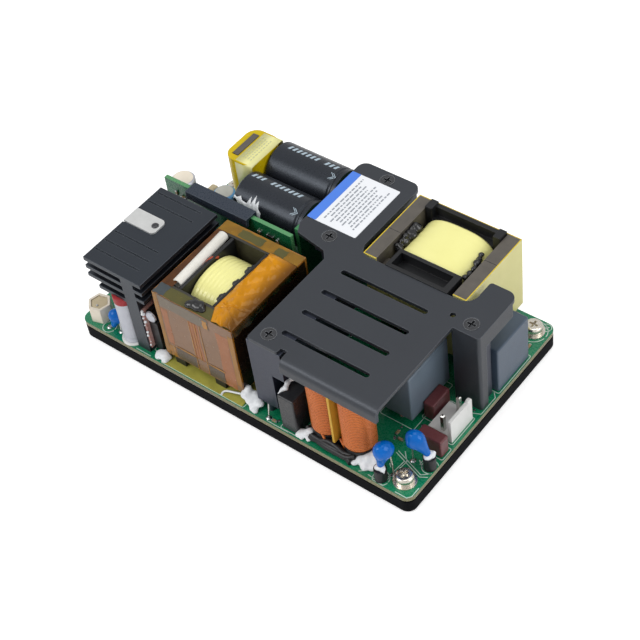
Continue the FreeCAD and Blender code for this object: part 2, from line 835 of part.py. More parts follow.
# Its leg down to the board and the skirt beside it
drawing = sketch(cover, "XY_Plane", top)
polygon(drawing, [
    (arm_x0, arm_y0), (arm_x1, arm_y0), (arm_x1, arm_y0 + wall_length),
    (arm_x1 - cover_thickness, arm_y0 + wall_length),
    (arm_x1 - cover_thickness, arm_y0 + cover_thickness), (arm_x0, arm_y0 + cover_thickness)])
pad(cover, drawing, cover_under - top)
drawing = sketch(cover, "XY_Plane", cover_top - skirt_drop)
rectangle(drawing, arm_x1 - cover_thickness, arm_x1, arm_y0 + wall_length, arm_y1 - outer_round)
pad(cover, drawing, skirt_drop - cover_thickness)
fillet(cover, upright_at([(arm_x1, arm_y0)]), small_round)

# Its ventilation slots and screw holes
drawing = sketch(cover, "XY_Plane", cover_top)
slot_x0 = cover_x0 + slot_inset_x
slot_y0 = cover_y0 + slot_inset_y
slot(drawing, slot_x0, slot_x0 + slot_length, slot_y0, slot_width)
first_slot = pocket(cover, drawing, cover_thickness)
slots = cover.newObject("PartDesign::LinearPattern", "cover_slots")
slots.Originals = [first_slot]
slots.Direction = (drawing, ["V_Axis"])
slots.Occurrences = slot_count
bind(slots, "Length", slot_pitch * (slot_count - 1))
cover.Tip = slots
doc.recompute()
drawing = sketch(cover, "XY_Plane", cover_top)
for x, y in cover_holes:
    circle(drawing, x, y, cover_hole_radius)
circle(drawing, cover_x1 - witness_x, arm_y0 + witness_y, witness_radius)
pocket(cover, drawing, cover_thickness)
chamfer(cover, round_at(cover_holes, cover_top), sink_width)

# Countersunk screws of the cover
cover_shank = cover_hole_radius - thread_clearance * 3
cover_screw_profile = [(0, -cover_screw_length), (cover_shank, -cover_screw_length),
                       (cover_shank, -sink_width), (cover_shank + sink_width, 0), (0, 0)]
for where, (x, y) in zip(("front", "middle", "rear", "side"), cover_holes):
    screw = turned("cover_screw_" + where, cover_screw_profile, x, y, cover_top)
    cross_recess(screw, 0)


def tapped(owner, places):
    """Bores under the cover's screws, in the bar that they hold on to."""
    drawing = sketch(owner, "XY_Plane", cover_under)
    for x, y in places:
        circle(drawing, x, y, cover_shank + thread_clearance)
    pocket(owner, drawing, cover_screw_length)

# Extruded bars that carry the cover and cool what is screwed to them
bar_x0 = cover_x0 - bar_outset
bar_y0 = cover_y0 + bar_setback
bar_foot = top + bar_lift
bar = extruded_along_y("front_bar", [
    (bar_x0, bar_foot), (bar_x0 + web_width, bar_foot),
    (bar_x0 + web_width, cover_under - bar_block), (bar_x0 + bar_width, cover_under - bar_block),
    (bar_x0 + bar_width, cover_under), (bar_x0, cover_under)], bar_y0, bar_y0 + bar_length)
bar_pin_x = bar_x0 + web_width / 2
leads(bar, [(bar_pin_x, bar_y0 + bar_pin_inset), (bar_pin_x, bar_y0 + bar_length - bar_pin_inset)],
      bar_pin_radius, top, bar_foot)
tapped(bar, [front_screw])

rear_x1 = neck_x1 - rear_bar_inset
rear_x0 = rear_x1 - rear_bar_width
rear_web = rear_x0 + rear_web_inset
rear_y0 = waist_y - rear_bar_start
rear_y1 = neck_y1 - rear_bar_end
bar = extruded_along_y("rear_bar", [
    (rear_web, bar_foot), (rear_web + rear_web_width, bar_foot),
    (rear_web + rear_web_width, cover_under - rear_bar_flange),
    (rear_x1, cover_under - rear_bar_flange), (rear_x1, cover_under), (rear_x0, cover_under),
    (rear_x0, cover_under - rear_bar_flange), (rear_web, cover_under - rear_bar_flange)],
    rear_y0, rear_y1)
rear_pin_x = rear_web + rear_web_width / 2
leads(bar, [(rear_pin_x, rear_y0 + rear_pin_inset), (rear_pin_x, rear_y1 - rear_pin_inset)],
      bar_pin_radius, top, bar_foot)
tapped(bar, [middle_screw, rear_screw])

post_x1 = arm_x1 - cover_thickness - seat_clearance
post_y0 = arm_y0 + cover_thickness + seat_clearance
post = block("side_post", post_x1 - post_width, post_x1, post_y0, post_y0 + post_depth,
             top, cover_under)
tapped(post, [side_screw])

# Relay beside the front bar
block("relay", right - relay_x - relay_width, right - relay_x, front + relay_y,
      front + relay_y + relay_length, top, top + relay_height, case_round)

# Common mode choke: two upright coils on one ferrite ring, with a plate between them
middle_x = right - choke_x
middle_y = front + choke_y
coil_left = middle_x - choke_pitch / 2
coil_right = middle_x + choke_pitch / 2
coil_z = top + coil_start
coil_profile = [(coil_bore, 0), (coil_radius, 0), (coil_radius, coil_length), (coil_bore, coil_length)]
for where, x in (("left", coil_left), ("right", coil_right)):
    coil = turned("choke_coil_" + where, coil_profile, x, middle_y, coil_z)
    fillet(coil, every_edge, coil_round)

ring = new_body("choke_core")
drawing = sketch(ring, "XZ_Plane", -(middle_y - choke_leg / 2))
ring_z0 = top + choke_lift
ring_z1 = coil_z + coil_length + choke_lift
rectangle(drawing, coil_left - choke_leg / 2, coil_right + choke_leg / 2,
          ring_z0, ring_z1 + choke_yoke)
rectangle(drawing, coil_left + choke_leg / 2, coil_right - choke_leg / 2,
          ring_z0 + choke_yoke, ring_z1)
pad(ring, drawing, choke_leg, True)

seat = new_body("choke_base")
seat_radius = coil_radius - coil_round / 2
drawing = sketch(seat, "XY_Plane", top)
rectangle(drawing, coil_left, coil_right, middle_y - choke_bridge / 2, middle_y + choke_bridge / 2)
pad(seat, drawing, coil_start)
drawing = sketch(seat, "XY_Plane", top)
for x in (coil_left, coil_right):
    circle(drawing, x, middle_y, seat_radius)
pad(seat, drawing, coil_start)
drawing = sketch(seat, "XY_Plane", top)
leg_half = choke_leg / 2 + seat_clearance
rectangle(drawing, coil_left - leg_half, coil_right + leg_half,
          middle_y - leg_half, middle_y + leg_half)
pocket(seat, drawing, choke_lift + choke_yoke + seat_clearance, True)
drawing = sketch(seat, "XY_Plane", top)
for x in (coil_left, coil_right):
    rectangle(drawing, x - leg_half, x + leg_half, middle_y - leg_half, middle_y + leg_half)
pocket(seat, drawing, coil_start, True)

divider_y0 = middle_y - divider_width / 2
divider = new_body("choke_divider")
drawing = sketch(divider, "YZ_Plane", middle_x - divider_thickness / 2)
rectangle(drawing, divider_y0, divider_y0 + divider_width, coil_z, coil_z + coil_length)
pad(divider, drawing, divider_thickness)

# Two suppression capacitors in cases
cap_x1 = right - x_capacitor_x
cap_y0 = front + x_capacitor_y
cap_y1 = cap_y0 + x_capacitor_length
cap_z0 = top + x_capacitor_lift
cap = block("x_capacitor_middle", cap_x1 - x_capacitor_width, cap_x1, cap_y0, cap_y1,
            cap_z0, cap_z0 + x_capacitor_height, case_round)
cap_lead_x = cap_x1 - x_capacitor_width / 2
leads(cap, [(cap_lead_x, cap_y0 + lead_inset), (cap_lead_x, cap_y1 - lead_inset)],
      lead_radius, top, cap_z0)

side_x1 = right - side_capacitor_x
side_y0 = post_y0 + post_depth + side_capacitor_gap
block("x_capacitor_side", side_x1 - side_capacitor_width, side_x1,
      side_y0, side_y0 + side_capacitor_length, top, top + side_capacitor_height, case_round)

# Fuses in cases
block("fuse_front", right - fuse_front_x - fuse_length, right - fuse_front_x,
      front + fuse_front_y, front + fuse_front_y + fuse_width, top, top + fuse_height, case_round)
block("fuse_side", right - fuse_side_x - fuse_width, right - fuse_side_x,
      front + fuse_side_y, front + fuse_side_y + fuse_length, top, top + fuse_height, case_round)

# Mains input header with its two pins
header_x1 = right - header_x
header_x0 = header_x1 - header_width
header_y0 = front + header_y
header = extruded_along_y("input_header", [
    (header_x0, top), (header_x1, top), (header_x1, top + header_height),
    (header_x1 - header_wall, top + header_height), (header_x1 - header_wall, top + header_floor),
    (header_x0, top + header_floor)], header_y0, header_y0 + header_length)
pin_x = header_x1 - pin_inset
pin_middle = header_y0 + header_length / 2
pin_places = [("front", pin_middle - pin_pitch / 2), ("back", pin_middle + pin_pitch / 2)]
half = pin_side / 2
wide = half + thread_clearance
drawing = sketch(header, "XY_Plane", top)
for where, y in pin_places:
    rectangle(drawing, pin_x - wide, pin_x + wide, y - wide, y + wide)
pocket(header, drawing, header_floor, True)
for where, y in pin_places:
    pin = block("input_pin_" + where, pin_x - half, pin_x + half, y - half, y + half,
                top, top + pin_height)
    chamfer(pin, level_with(top + pin_height), pin_point)

# Small dipped disc capacitors on two leads, and the ferrite beads on their leads


def disc_capacitor(name, x, y, height, radius, turn):
    """A dipped disc on two leads, its flat side turned about Z."""
    made = new_body(name)
    drawing = sketch(made, "XZ_Plane", disc_thickness / 2)
    circle(drawing, 0, height, radius)
    pad(made, drawing, disc_thickness, True)
    fillet(made, every_edge, disc_thickness * 0.45)
    leads(made, [(-disc_lead_pitch / 2, 0), (disc_lead_pitch / 2, 0)], lead_radius, 0, height)
    place(made, x, y, top, (0, 0, 1), turn)

disc_capacitor("disc_capacitor_front", right - front_disc_x, front + front_disc_y,
               front_disc_height, disc_radius, 20)
disc_capacitor("disc_capacitor_side", right - side_disc_x, front + side_disc_y,
               side_disc_height, disc_radius, 35)
disc_capacitor("disc_capacitor_output", output_side + output_disc_x, front + output_disc_y,
               output_disc_height, output_disc_radius, 0)

bead_profile = [(bead_bore, 0), (bead_radius, 0), (bead_radius, bead_height), (bead_bore, bead_height)]
turned("ferrite_bead_front", bead_profile, right - front_bead_x, front + front_bead_y, top)
turned("ferrite_bead_side", bead_profile, right - side_bead_x, front + side_bead_y, top)

# Left heat sink: one extrusion with a leg, a top plate and side fins
sink_x0 = output_side + sink_x
sink_x1 = sink_x0 + sink_plate_width
sink_y0 = front + sink_y
sink_y1 = sink_y0 + sink_length
sink_top = top + can_height + sink_rise
sink_under = sink_top - sink_plate
leg_x0 = sink_x0 + sink_leg_x
leg_x1 = leg_x0 + sink_leg_width
low_fin = 2
section = [(leg_x0, top)]
for level in (2, 1, 0):
    middle = sink_top - fin_start - fin_pitch * level
    tip = sink_x0 + low_fin_cut if level == low_fin else sink_x0
    section += [(leg_x0, middle - fin_thickness / 2), (tip, middle - fin_thickness / 2),
                (tip, middle + fin_thickness / 2), (leg_x0, middle + fin_thickness / 2)]
section += [(leg_x0, sink_under), (sink_x0, sink_under), (sink_x0, sink_top),
            (sink_x1, sink_top), (sink_x1, sink_under), (leg_x1, sink_under)]
for level in (0, 1):
    middle = sink_top - fin_start - fin_pitch * level
    section += [(leg_x1, middle + fin_thickness / 2), (sink_x1, middle + fin_thickness / 2),
                (sink_x1, middle - fin_thickness / 2), (leg_x1, middle - fin_thickness / 2)]
section.append((leg_x1, top))
sink = extruded_along_y("heat_sink", section, sink_y0, sink_y1)
drawing = sketch(sink, "XY_Plane", sink_top)
grooves = [sink_y0 + front_groove + groove_pitch * i for i in range(3)]
grooves += [sink_y1 - back_groove - groove_pitch * i for i in range(2)]
for y in grooves:
    rectangle(drawing, sink_x0 + groove_inset, sink_x0 + groove_inset + groove_length,
              y - groove_width / 2, y + groove_width / 2)
pocket(sink, drawing, groove_depth)

# Spring strap through a notch in its left edge
clip_y0 = sink_y0 + clip_y
clip_y1 = clip_y0 + clip_width
drawing = sketch(sink, "XY_Plane", sink_top)
rectangle(drawing, sink_x0, sink_x0 + clip_notch, clip_y0 - seat_clearance, clip_y1 + seat_clearance)
pocket(sink, drawing, sink_plate)
strap_x0 = sink_x0 + clip_notch - clip_thickness
strap_x1 = strap_x0 + clip_length
strap = extruded_along_y("spring_clip", [
    (strap_x0, sink_top + clip_thickness), (strap_x0, sink_top - clip_leg),
    (strap_x0 + clip_thickness, sink_top - clip_leg), (strap_x0 + clip_thickness, sink_top),
    (strap_x1, sink_top), (strap_x1, sink_top + clip_thickness)], clip_y0, clip_y1)
fillet(strap, upright_at([(strap_x1, clip_y0), (strap_x1, clip_y1)]), clip_round)
drawing = sketch(strap, "XY_Plane", sink_top + clip_thickness)
circle(drawing, strap_x1 - rivet_inset, (clip_y0 + clip_y1) / 2, rivet_radius)
pocket(strap, drawing, clip_thickness)

# Power transistor on an insulating strip against the leg
strip_x1 = leg_x1 + strip_thickness
block("insulating_strip", leg_x1, strip_x1, sink_y0 + strip_start,
      sink_y0 + strip_start + strip_length, top + strip_lift, top + strip_lift + strip_height)
body_y0 = sink_y0 + transistor_start
body_y1 = body_y0 + transistor_width
body_z0 = top + transistor_lift
body_z1 = body_z0 + transistor_height
transistor = block("power_transistor", strip_x1, strip_x1 + transistor_depth,
                   body_y0, body_y1, body_z0, body_z1, case_round,
                   lambda edge: along_y(edge) and edge.BoundBox.XMin > number(strip_x1) + 0.1)
drawing = sketch(transistor, "XY_Plane", body_z1)
rectangle(drawing, strip_x1, strip_x1 + transistor_tab, body_y0, body_y1)
pad(transistor, drawing, tab_height)
leg_line = strip_x1 + transistor_depth / 2
leads(transistor, [(leg_line, body_y0 + transistor_width * (1 + 2 * i) / 6) for i in range(3)],
      lead_radius, top, body_z0)

# Upright output capacitors under the fins


def can_profile(radius, length):
    """A capacitor can: the crimped groove near its seal and a rounded crown."""
    return [(0, 0), (radius, 0), (radius, can_bead), (radius - can_groove, can_bead * 1.4),
            (radius - can_groove, can_bead * 1.8), (radius, can_bead * 2.2),
            (radius, length - can_crown), (radius - can_crown, length), (0, length)]

can_x = leg_x0 - can_radius - seat_clearance
for i, where in enumerate(("front", "back")):
    turned("output_capacitor_" + where, can_profile(can_radius, can_height),
           can_x, sink_y0 + can_start + can_pitch * i, top)

# Main transformer, its winding along X
box_x0 = output_side + transformer_x
box_x1 = box_x0 + transformer_length
box_y0 = front + transformer_y
box_y1 = box_y0 + transformer_width
box_z0 = top + transformer_lift
box_z1 = box_z0 + transformer_height
core_x0 = box_x0 + tape_thickness
core_x1 = box_x1 - tape_thickness
core_y0 = box_y0 + tape_thickness
core_y1 = box_y1 - tape_thickness
axis_y = (box_y0 + box_y1) / 2
axis_z = (box_z0 + box_z1) / 2

block("transformer_sheet", box_x0 - sheet_margin, box_x1 + sheet_margin, front + sheet_front,
      box_y1 + sheet_margin, top, top + sheet_thickness)

tape = new_body("transformer_tape")
drawing = sketch(tape, "XY_Plane", box_z0)
rectangle(drawing, box_x0, box_x1, box_y0, box_y1)
rectangle(drawing, core_x0, core_x1, core_y0, core_y1)
pad(tape, drawing, transformer_height)

window_x0 = core_x0 + transformer_yoke
window_x1 = core_x1 - transformer_yoke
window_y0 = core_y0 + transformer_leg
window_y1 = core_y1 - transformer_leg
core = new_body("transformer_core")
drawing = sketch(core, "XY_Plane", box_z0)
rectangle(drawing, core_x0, core_x1, core_y0, core_y1)
rectangle(drawing, window_x0, window_x1, window_y0, window_y1)
pad(core, drawing, transformer_height)
drawing = sketch(core, "XY_Plane", box_z1)
rectangle(drawing, core_x0, window_x0, window_y0, window_y1)
rectangle(drawing, window_x1, core_x1, window_y0, window_y1)
pocket(core, drawing, yoke_drop)
drawing = sketch(core, "YZ_Plane", window_x0)
circle(drawing, axis_y, axis_z, transformer_centre)
pad(core, drawing, window_x1 - window_x0)

bore = transformer_centre + bobbin_clearance
tube = bore + bobbin_wall
flange_left = box_x0 + flange_left_start
flange_right = box_x0 + flange_right_start
flange_y0 = window_y0 + bobbin_clearance
flange_y1 = window_y1 - bobbin_clearance
bobbin = new_body("transformer_bobbin")
for x in (flange_left, flange_right):
    drawing = sketch(bobbin, "YZ_Plane", x)
    rectangle(drawing, flange_y0, flange_y1, box_z0 - bobbin_clearance, box_z1)
    pad(bobbin, drawing, bobbin_wall)
    if x is flange_left:
        drawing = sketch(bobbin, "YZ_Plane", x)
        circle(drawing, axis_y, axis_z, tube)
        pad(bobbin, drawing, flange_right + bobbin_wall - flange_left)
drawing = sketch(bobbin, "XY_Plane", top + sheet_thickness)
rail_right = flange_right + bobbin_wall
rectangle(drawing, flange_left + bobbin_wall - rail_width, flange_left + bobbin_wall,
          box_y0, box_y1)
rectangle(drawing, flange_right, flange_right + rail_width, box_y0, box_y1)
pad(bobbin, drawing, transformer_lift - sheet_thickness - bobbin_clearance)
drawing = sketch(bobbin, "YZ_Plane", flange_left)
circle(drawing, axis_y, axis_z, bore)
pocket(bobbin, drawing, flange_right + bobbin_wall - flange_left, True)
fillet(bobbin, lambda edge: edge.BoundBox.ZMin > number(box_z1) - 1e-6
       and edge.BoundBox.XLength < 1e-6, small_round / 2)

wound = bobbin_wall + bobbin_clearance / 2
turned("transformer_winding",
       [(tube + bobbin_clearance / 2, 0), (transformer_winding_radius, 0),
        (transformer_winding_radius, flange_right - flange_left - bobbin_wall - bobbin_clearance),
        (tube + bobbin_clearance / 2, flange_right - flange_left - bobbin_wall - bobbin_clearance)],
       flange_left + wound, axis_y, axis_z, (0, 1, 0), 90)

yoke_top = box_z1 - yoke_drop
turned("lead_sleeve", [(0, 0), (sleeve_radius, 0), (sleeve_radius, sleeve_length), (0, sleeve_length)],
       box_x0 + sleeve_x, window_y1 - bobbin_clearance, yoke_top + sleeve_radius, (1, 0, 0), 90)

wrap_x0 = flange_right + bobbin_wall + bobbin_clearance
wrap = block("tape_wrap", wrap_x0, core_x1 - bobbin_clearance, flange_y0, flange_y1,
             yoke_top, yoke_top + wrap_height, small_round * 1.5,
             lambda edge: along_y(edge) and edge.BoundBox.ZMin > number(yoke_top) + 1)

# Boost choke of the power factor stage, its winding along Y
boost_x1 = right - boost_x
boost_x0 = boost_x1 - boost_width
boost_y0 = waist_y + boost_gap
boost_y1 = boost_y0 + boost_depth
boost_z0 = top + boost_lift
boost_z1 = boost_z0 + boost_height
ferrite_x0 = boost_x0 + tape_thickness
ferrite_x1 = boost_x1 - tape_thickness
ferrite_y0 = boost_y0 + tape_thickness
ferrite_y1 = boost_y1 - tape_thickness
gap_x0 = ferrite_x0 + boost_leg
gap_x1 = ferrite_x1 - boost_leg
gap_y0 = ferrite_y0 + boost_front_yoke
gap_y1 = ferrite_y1 - boost_back_yoke
low_top = boost_z1 - yoke_drop

core = new_body("boost_core")
drawing = sketch(core, "XY_Plane", boost_z0)
rectangle(drawing, ferrite_x0, ferrite_x1, ferrite_y0, ferrite_y1)
rectangle(drawing, gap_x0, gap_x1, gap_y0, gap_y1)
pad(core, drawing, boost_height)
drawing = sketch(core, "XY_Plane", boost_z1)
rectangle(drawing, gap_x0, gap_x1, ferrite_y0, gap_y0)
rectangle(drawing, gap_x0, gap_x1, gap_y1, ferrite_y1)
pocket(core, drawing, yoke_drop)
boost_axis_x = (boost_x0 + boost_x1) / 2
boost_axis_z = (boost_z0 + boost_z1) / 2
drawing = sketch(core, "XZ_Plane", -gap_y0)
circle(drawing, boost_axis_x, boost_axis_z, boost_centre)
pad(core, drawing, gap_y1 - gap_y0, True)

tape = new_body("boost_tape")
drawing = sketch(tape, "XY_Plane", boost_z0)
rectangle(drawing, boost_x0, boost_x1, boost_y0, boost_y1)
rectangle(drawing, ferrite_x0, ferrite_x1, ferrite_y0, ferrite_y1)
pad(tape, drawing, boost_height)
drawing = sketch(tape, "XY_Plane", boost_z1)
rectangle(drawing, gap_x0, gap_x1, boost_y0, ferrite_y0)
pocket(tape, drawing, yoke_drop)

trough_y1 = gap_y0 + bobbin_clearance + trough_wall
trough_y0 = trough_y1 - trough_depth
trough_z0 = low_top + bobbin_clearance
trough_z1 = boost_z1 + trough_rise
trough_x0 = boost_axis_x + trough_shift - trough_width / 2
trough_x1 = trough_x0 + trough_width
flange_z0 = boost_z0 - bobbin_clearance
bobbin = extruded_along_x("boost_bobbin", [
    (trough_y1, flange_z0), (trough_y1, trough_z1), (trough_y1 - trough_wall, trough_z1),
    (trough_y1 - trough_wall, trough_z0 + trough_wall), (trough_y0 + trough_wall, trough_z0 + trough_wall),
    (trough_y0 + trough_wall, trough_z1), (trough_y0, trough_z1), (trough_y0, trough_z0),
    (trough_y1 - trough_wall, trough_z0), (trough_y1 - trough_wall, flange_z0)],
    trough_x0, trough_x1)
drawing = sketch(bobbin, "XY_Plane", trough_z0)
rectangle(drawing, trough_x0, trough_x0 + trough_wall, trough_y0, trough_y1)
rectangle(drawing, trough_x1 - trough_end, trough_x1, trough_y0, trough_y1)
pad(bobbin, drawing, trough_z1 - trough_z0)
tube = boost_centre + bobbin_clearance + bobbin_wall
rear_wall = gap_y1 - bobbin_clearance
drawing = sketch(bobbin, "XZ_Plane", -(trough_y1 - trough_wall))
circle(drawing, boost_axis_x, boost_axis_z, tube)
pad(bobbin, drawing, rear_wall - trough_y1 + trough_wall, True)
rib_y1 = ferrite_y1 - bobbin_clearance
drawing = sketch(bobbin, "YZ_Plane", gap_x0 + bobbin_clearance)
polygon(drawing, [
    (rear_wall - bobbin_wall, flange_z0), (rear_wall, flange_z0), (rear_wall, trough_z0),
    (rib_y1, trough_z0), (rib_y1, trough_z1), (rib_y1 - rear_rib, trough_z1),
    (rib_y1 - rear_rib, trough_z0 + bobbin_wall), (rear_wall - bobbin_wall, trough_z0 + bobbin_wall)])
pad(bobbin, drawing, gap_x1 - gap_x0 - bobbin_clearance * 2)
drawing = sketch(bobbin, "XY_Plane", trough_z0)
lug_x0 = gap_x0 + bobbin_clearance
lug_x1 = gap_x1 - bobbin_clearance
rectangle(drawing, lug_x0, lug_x0 + rear_lug, rear_wall - bobbin_wall, rib_y1)
rectangle(drawing, lug_x1 - rear_lug, lug_x1, rear_wall - bobbin_wall, rib_y1)
pad(bobbin, drawing, trough_z1 - trough_z0 + rear_rise)
drawing = sketch(bobbin, "XY_Plane", top)
rectangle(drawing, gap_x0, gap_x1, trough_y1 - rail_width, trough_y1)
rectangle(drawing, gap_x0, gap_x1, rear_wall - bobbin_wall, rear_wall - bobbin_wall + rail_width)
pad(bobbin, drawing, boost_lift - bobbin_clearance)
drawing = sketch(bobbin, "XZ_Plane", -(trough_y1 - trough_wall))
circle(drawing, boost_axis_x, boost_axis_z, boost_centre + bobbin_clearance)
pocket(bobbin, drawing, rear_wall - trough_y1 + trough_wall)

boost_wound = rear_wall - bobbin_wall - trough_y1 - bobbin_clearance
turned("boost_winding",
       [(tube + bobbin_clearance / 2, 0), (boost_winding_radius, 0),
        (boost_winding_radius, boost_wound), (tube + bobbin_clearance / 2, boost_wound)],
       boost_axis_x, rear_wall - bobbin_wall - bobbin_clearance / 2, boost_axis_z, (1, 0, 0), 90)

# Upright control board behind the transformer, with a channel clipped over its edge
control_y0 = front + control_y
control_y1 = control_y0 + control_thickness
control_top = top + control_height
block("control_board", output_side + control_x, output_side + control_x + control_length,
      control_y0, control_y1, top, control_top)
channel_x0 = output_side + control_x + channel_x
channel_y0 = control_y0 - channel_front
channel_y1 = control_y1 + channel_back
channel_z1 = control_top + channel_web
extruded_along_x("edge_channel", [
    (channel_y0, channel_z1 - channel_lip), (channel_y0 + channel_wall, channel_z1 - channel_lip),
    (channel_y0 + channel_wall, control_top), (channel_y1 - channel_wall, control_top),
    (channel_y1 - channel_wall, channel_z1 - channel_lip), (channel_y1, channel_z1 - channel_lip),
    (channel_y1, channel_z1), (channel_y0, channel_z1)], channel_x0, channel_x0 + channel_length)

# Two bulk capacitors lying on their sides, soldered to an upright carrier board
carrier_x0 = output_side + carrier_x
carrier_y0 = control_y1 + carrier_stand
block("carrier_board", carrier_x0, carrier_x0 + carrier_thickness,
      carrier_y0, carrier_y0 + carrier_length, top, cover_under - seat_clearance)
bulk_y = control_y1 + bulk_stand + bulk_radius
bulk_x1 = carrier_x0 - seat_clearance
for where, y in (("front", bulk_y), ("back", bulk_y + bulk_radius * 2 + bulk_gap)):
    turned("bulk_capacitor_" + where, can_profile(bulk_radius, bulk_length),
           bulk_x1, y, top + bulk_height, (0, 1, 0), -90)

# Taped inductor at the end of the bulk capacitors
coil_x0 = output_side + inductor_x
coil_y0 = control_y1 + inductor_stand
coil_y1 = coil_y0 + inductor_length
core_y_middle = (coil_y0 + coil_y1) / 2
bar_half = core_bar_length / 2
wound_coil = block("inductor_winding", coil_x0, coil_x0 + inductor_width, coil_y0, coil_y1,
                   top + inductor_lift, top + inductor_height, inductor_round, upright)
drawing = sketch(wound_coil, "XY_Plane", top + inductor_height)
core_x = coil_x0 + core_slot_x
rectangle(drawing, core_x - bobbin_clearance, core_x + core_bar + bobbin_clearance,
          core_y_middle - bar_half - bobbin_clearance, core_y_middle + bar_half + bobbin_clearance)
pocket(wound_coil, drawing, inductor_height - inductor_lift)
core = block("inductor_core", coil_x0 + small_round, coil_x0 + inductor_width - small_round,
             coil_y0 + small_round, coil_y1 - small_round, top, top + inductor_lift)
drawing = sketch(core, "XY_Plane", top + inductor_lift)
rectangle(drawing, core_x, core_x + core_bar, core_y_middle - bar_half, core_y_middle + bar_half)
pad(core, drawing, inductor_height - inductor_lift + core_rise)

# Small parts behind the control board
turned("filter_capacitor", can_profile(filter_radius, filter_height),
       output_side + filter_x, control_y1 + filter_y, top)
turned("small_capacitor", can_profile(small_can_radius, small_can_height),
       output_side + small_can_x, control_y1 + small_can_y, top)
block_x0 = output_side + film_block_x
block("film_capacitor", block_x0, block_x0 + film_block_width, control_y1 + film_block_y,
      control_y1 + film_block_y + film_block_length, top, top + film_block_height, small_round)

# Every object is sound before anything is written
doc.recompute()
for item in doc.Objects:
    if "Invalid" in item.State or "Error" in item.State:
        raise RuntimeError("%s could not be made: %s" % (item.Name, item.State))
for item in parts:
    if item.Shape.isNull() or not item.Shape.isValid():
        raise RuntimeError("%s has no valid shape" % item.Label)
for item in parts:
    item.Shape.exportStep("parts/%s.step" % item.Label)
print(len(parts), "parts written")
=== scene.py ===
# %% [markdown]
# # An open frame power supply, dressed for its picture
# The metal, the boards, the cores and the cases come from the CAD model as they are, at real
# size. This lesson gives each of them the finish of its real material, and adds what is too small
# or too soft for the CAD: wire turns, dipped resin, tape, glue, solder, print on the board.
# First the CAD model is loaded. Its objects sit at the origin, in metres, with +Z up.

# %% Load the CAD model
import bmesh
import bpy
import math
import random
from mathutils import Matrix, Vector


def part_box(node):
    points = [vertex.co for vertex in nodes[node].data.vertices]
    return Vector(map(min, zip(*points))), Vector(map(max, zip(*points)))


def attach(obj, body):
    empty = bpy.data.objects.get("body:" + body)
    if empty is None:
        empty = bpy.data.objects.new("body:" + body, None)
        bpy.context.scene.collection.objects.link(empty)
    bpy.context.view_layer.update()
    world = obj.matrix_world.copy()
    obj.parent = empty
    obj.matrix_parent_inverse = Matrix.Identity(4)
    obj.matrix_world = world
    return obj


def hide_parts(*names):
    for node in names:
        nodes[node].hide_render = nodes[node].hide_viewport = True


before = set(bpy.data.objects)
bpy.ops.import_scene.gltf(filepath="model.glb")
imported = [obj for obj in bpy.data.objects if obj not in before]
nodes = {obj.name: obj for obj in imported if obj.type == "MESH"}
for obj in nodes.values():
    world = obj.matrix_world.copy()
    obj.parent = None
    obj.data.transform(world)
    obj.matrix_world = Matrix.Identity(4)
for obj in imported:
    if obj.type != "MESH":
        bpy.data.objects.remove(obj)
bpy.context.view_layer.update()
print("CAD solids:", len(nodes))

# %% [markdown]
# Every length on the object is written in millimetres, as on a drawing, and one factor turns it
# into Blender's metres. Only the floor, the lamps and the camera are placed in metres. Colours are
# written as the hex values of a paint card. A picture file stores them bent for the eye, so one
# function straightens them into linear light.

# %% Millimetres and colours
MM = 0.001


def linear(card):
    """The linear colour of an sRGB hex value such as "d87a38"."""
    channels = [int(card[i:i + 2], 16) / 255 for i in (0, 2, 4)]
    return tuple(c / 12.92 if c <= 0.04045 else ((c + 0.055) / 1.055) ** 2.4 for c in channels) + (1.0,)


print("copper in linear light:", [round(c, 3) for c in linear("d87a38")])

# %% [markdown]
# A material is a small tree of nodes. One function adds a node: its own settings come as
# keywords, and its sockets are filled from a dictionary, each with a plain value or with the
# output of another node. Everything else in the materials is written with it.

# %% One function for nodes
def add(tree, kind, sockets=None, **settings):
    """Adds one node to tree. sockets maps an input's name or number to a value or to an output."""
    made = tree.nodes.new(kind)
    for name, value in settings.items():
        setattr(made, name, value)
    for name, value in (sockets or {}).items():
        if isinstance(value, bpy.types.NodeSocket):
            tree.links.new(value, made.inputs[name])
        else:
            made.inputs[name].default_value = value
    return made


# %% [markdown]
# Most surfaces here share one build, so it is worth a function. The colour wanders between two
# tones over soft patches, because no real batch of paint or plastic is even. A finer noise
# roughens the surface where the grain of the process shows, and a Bevel node rounds the light on
# sharp edges, as every real edge has a small radius that catches a highlight. Patch and grain
# sizes are real millimetres: a noise of scale 1 repeats each metre, so 1000 / size gives its scale.

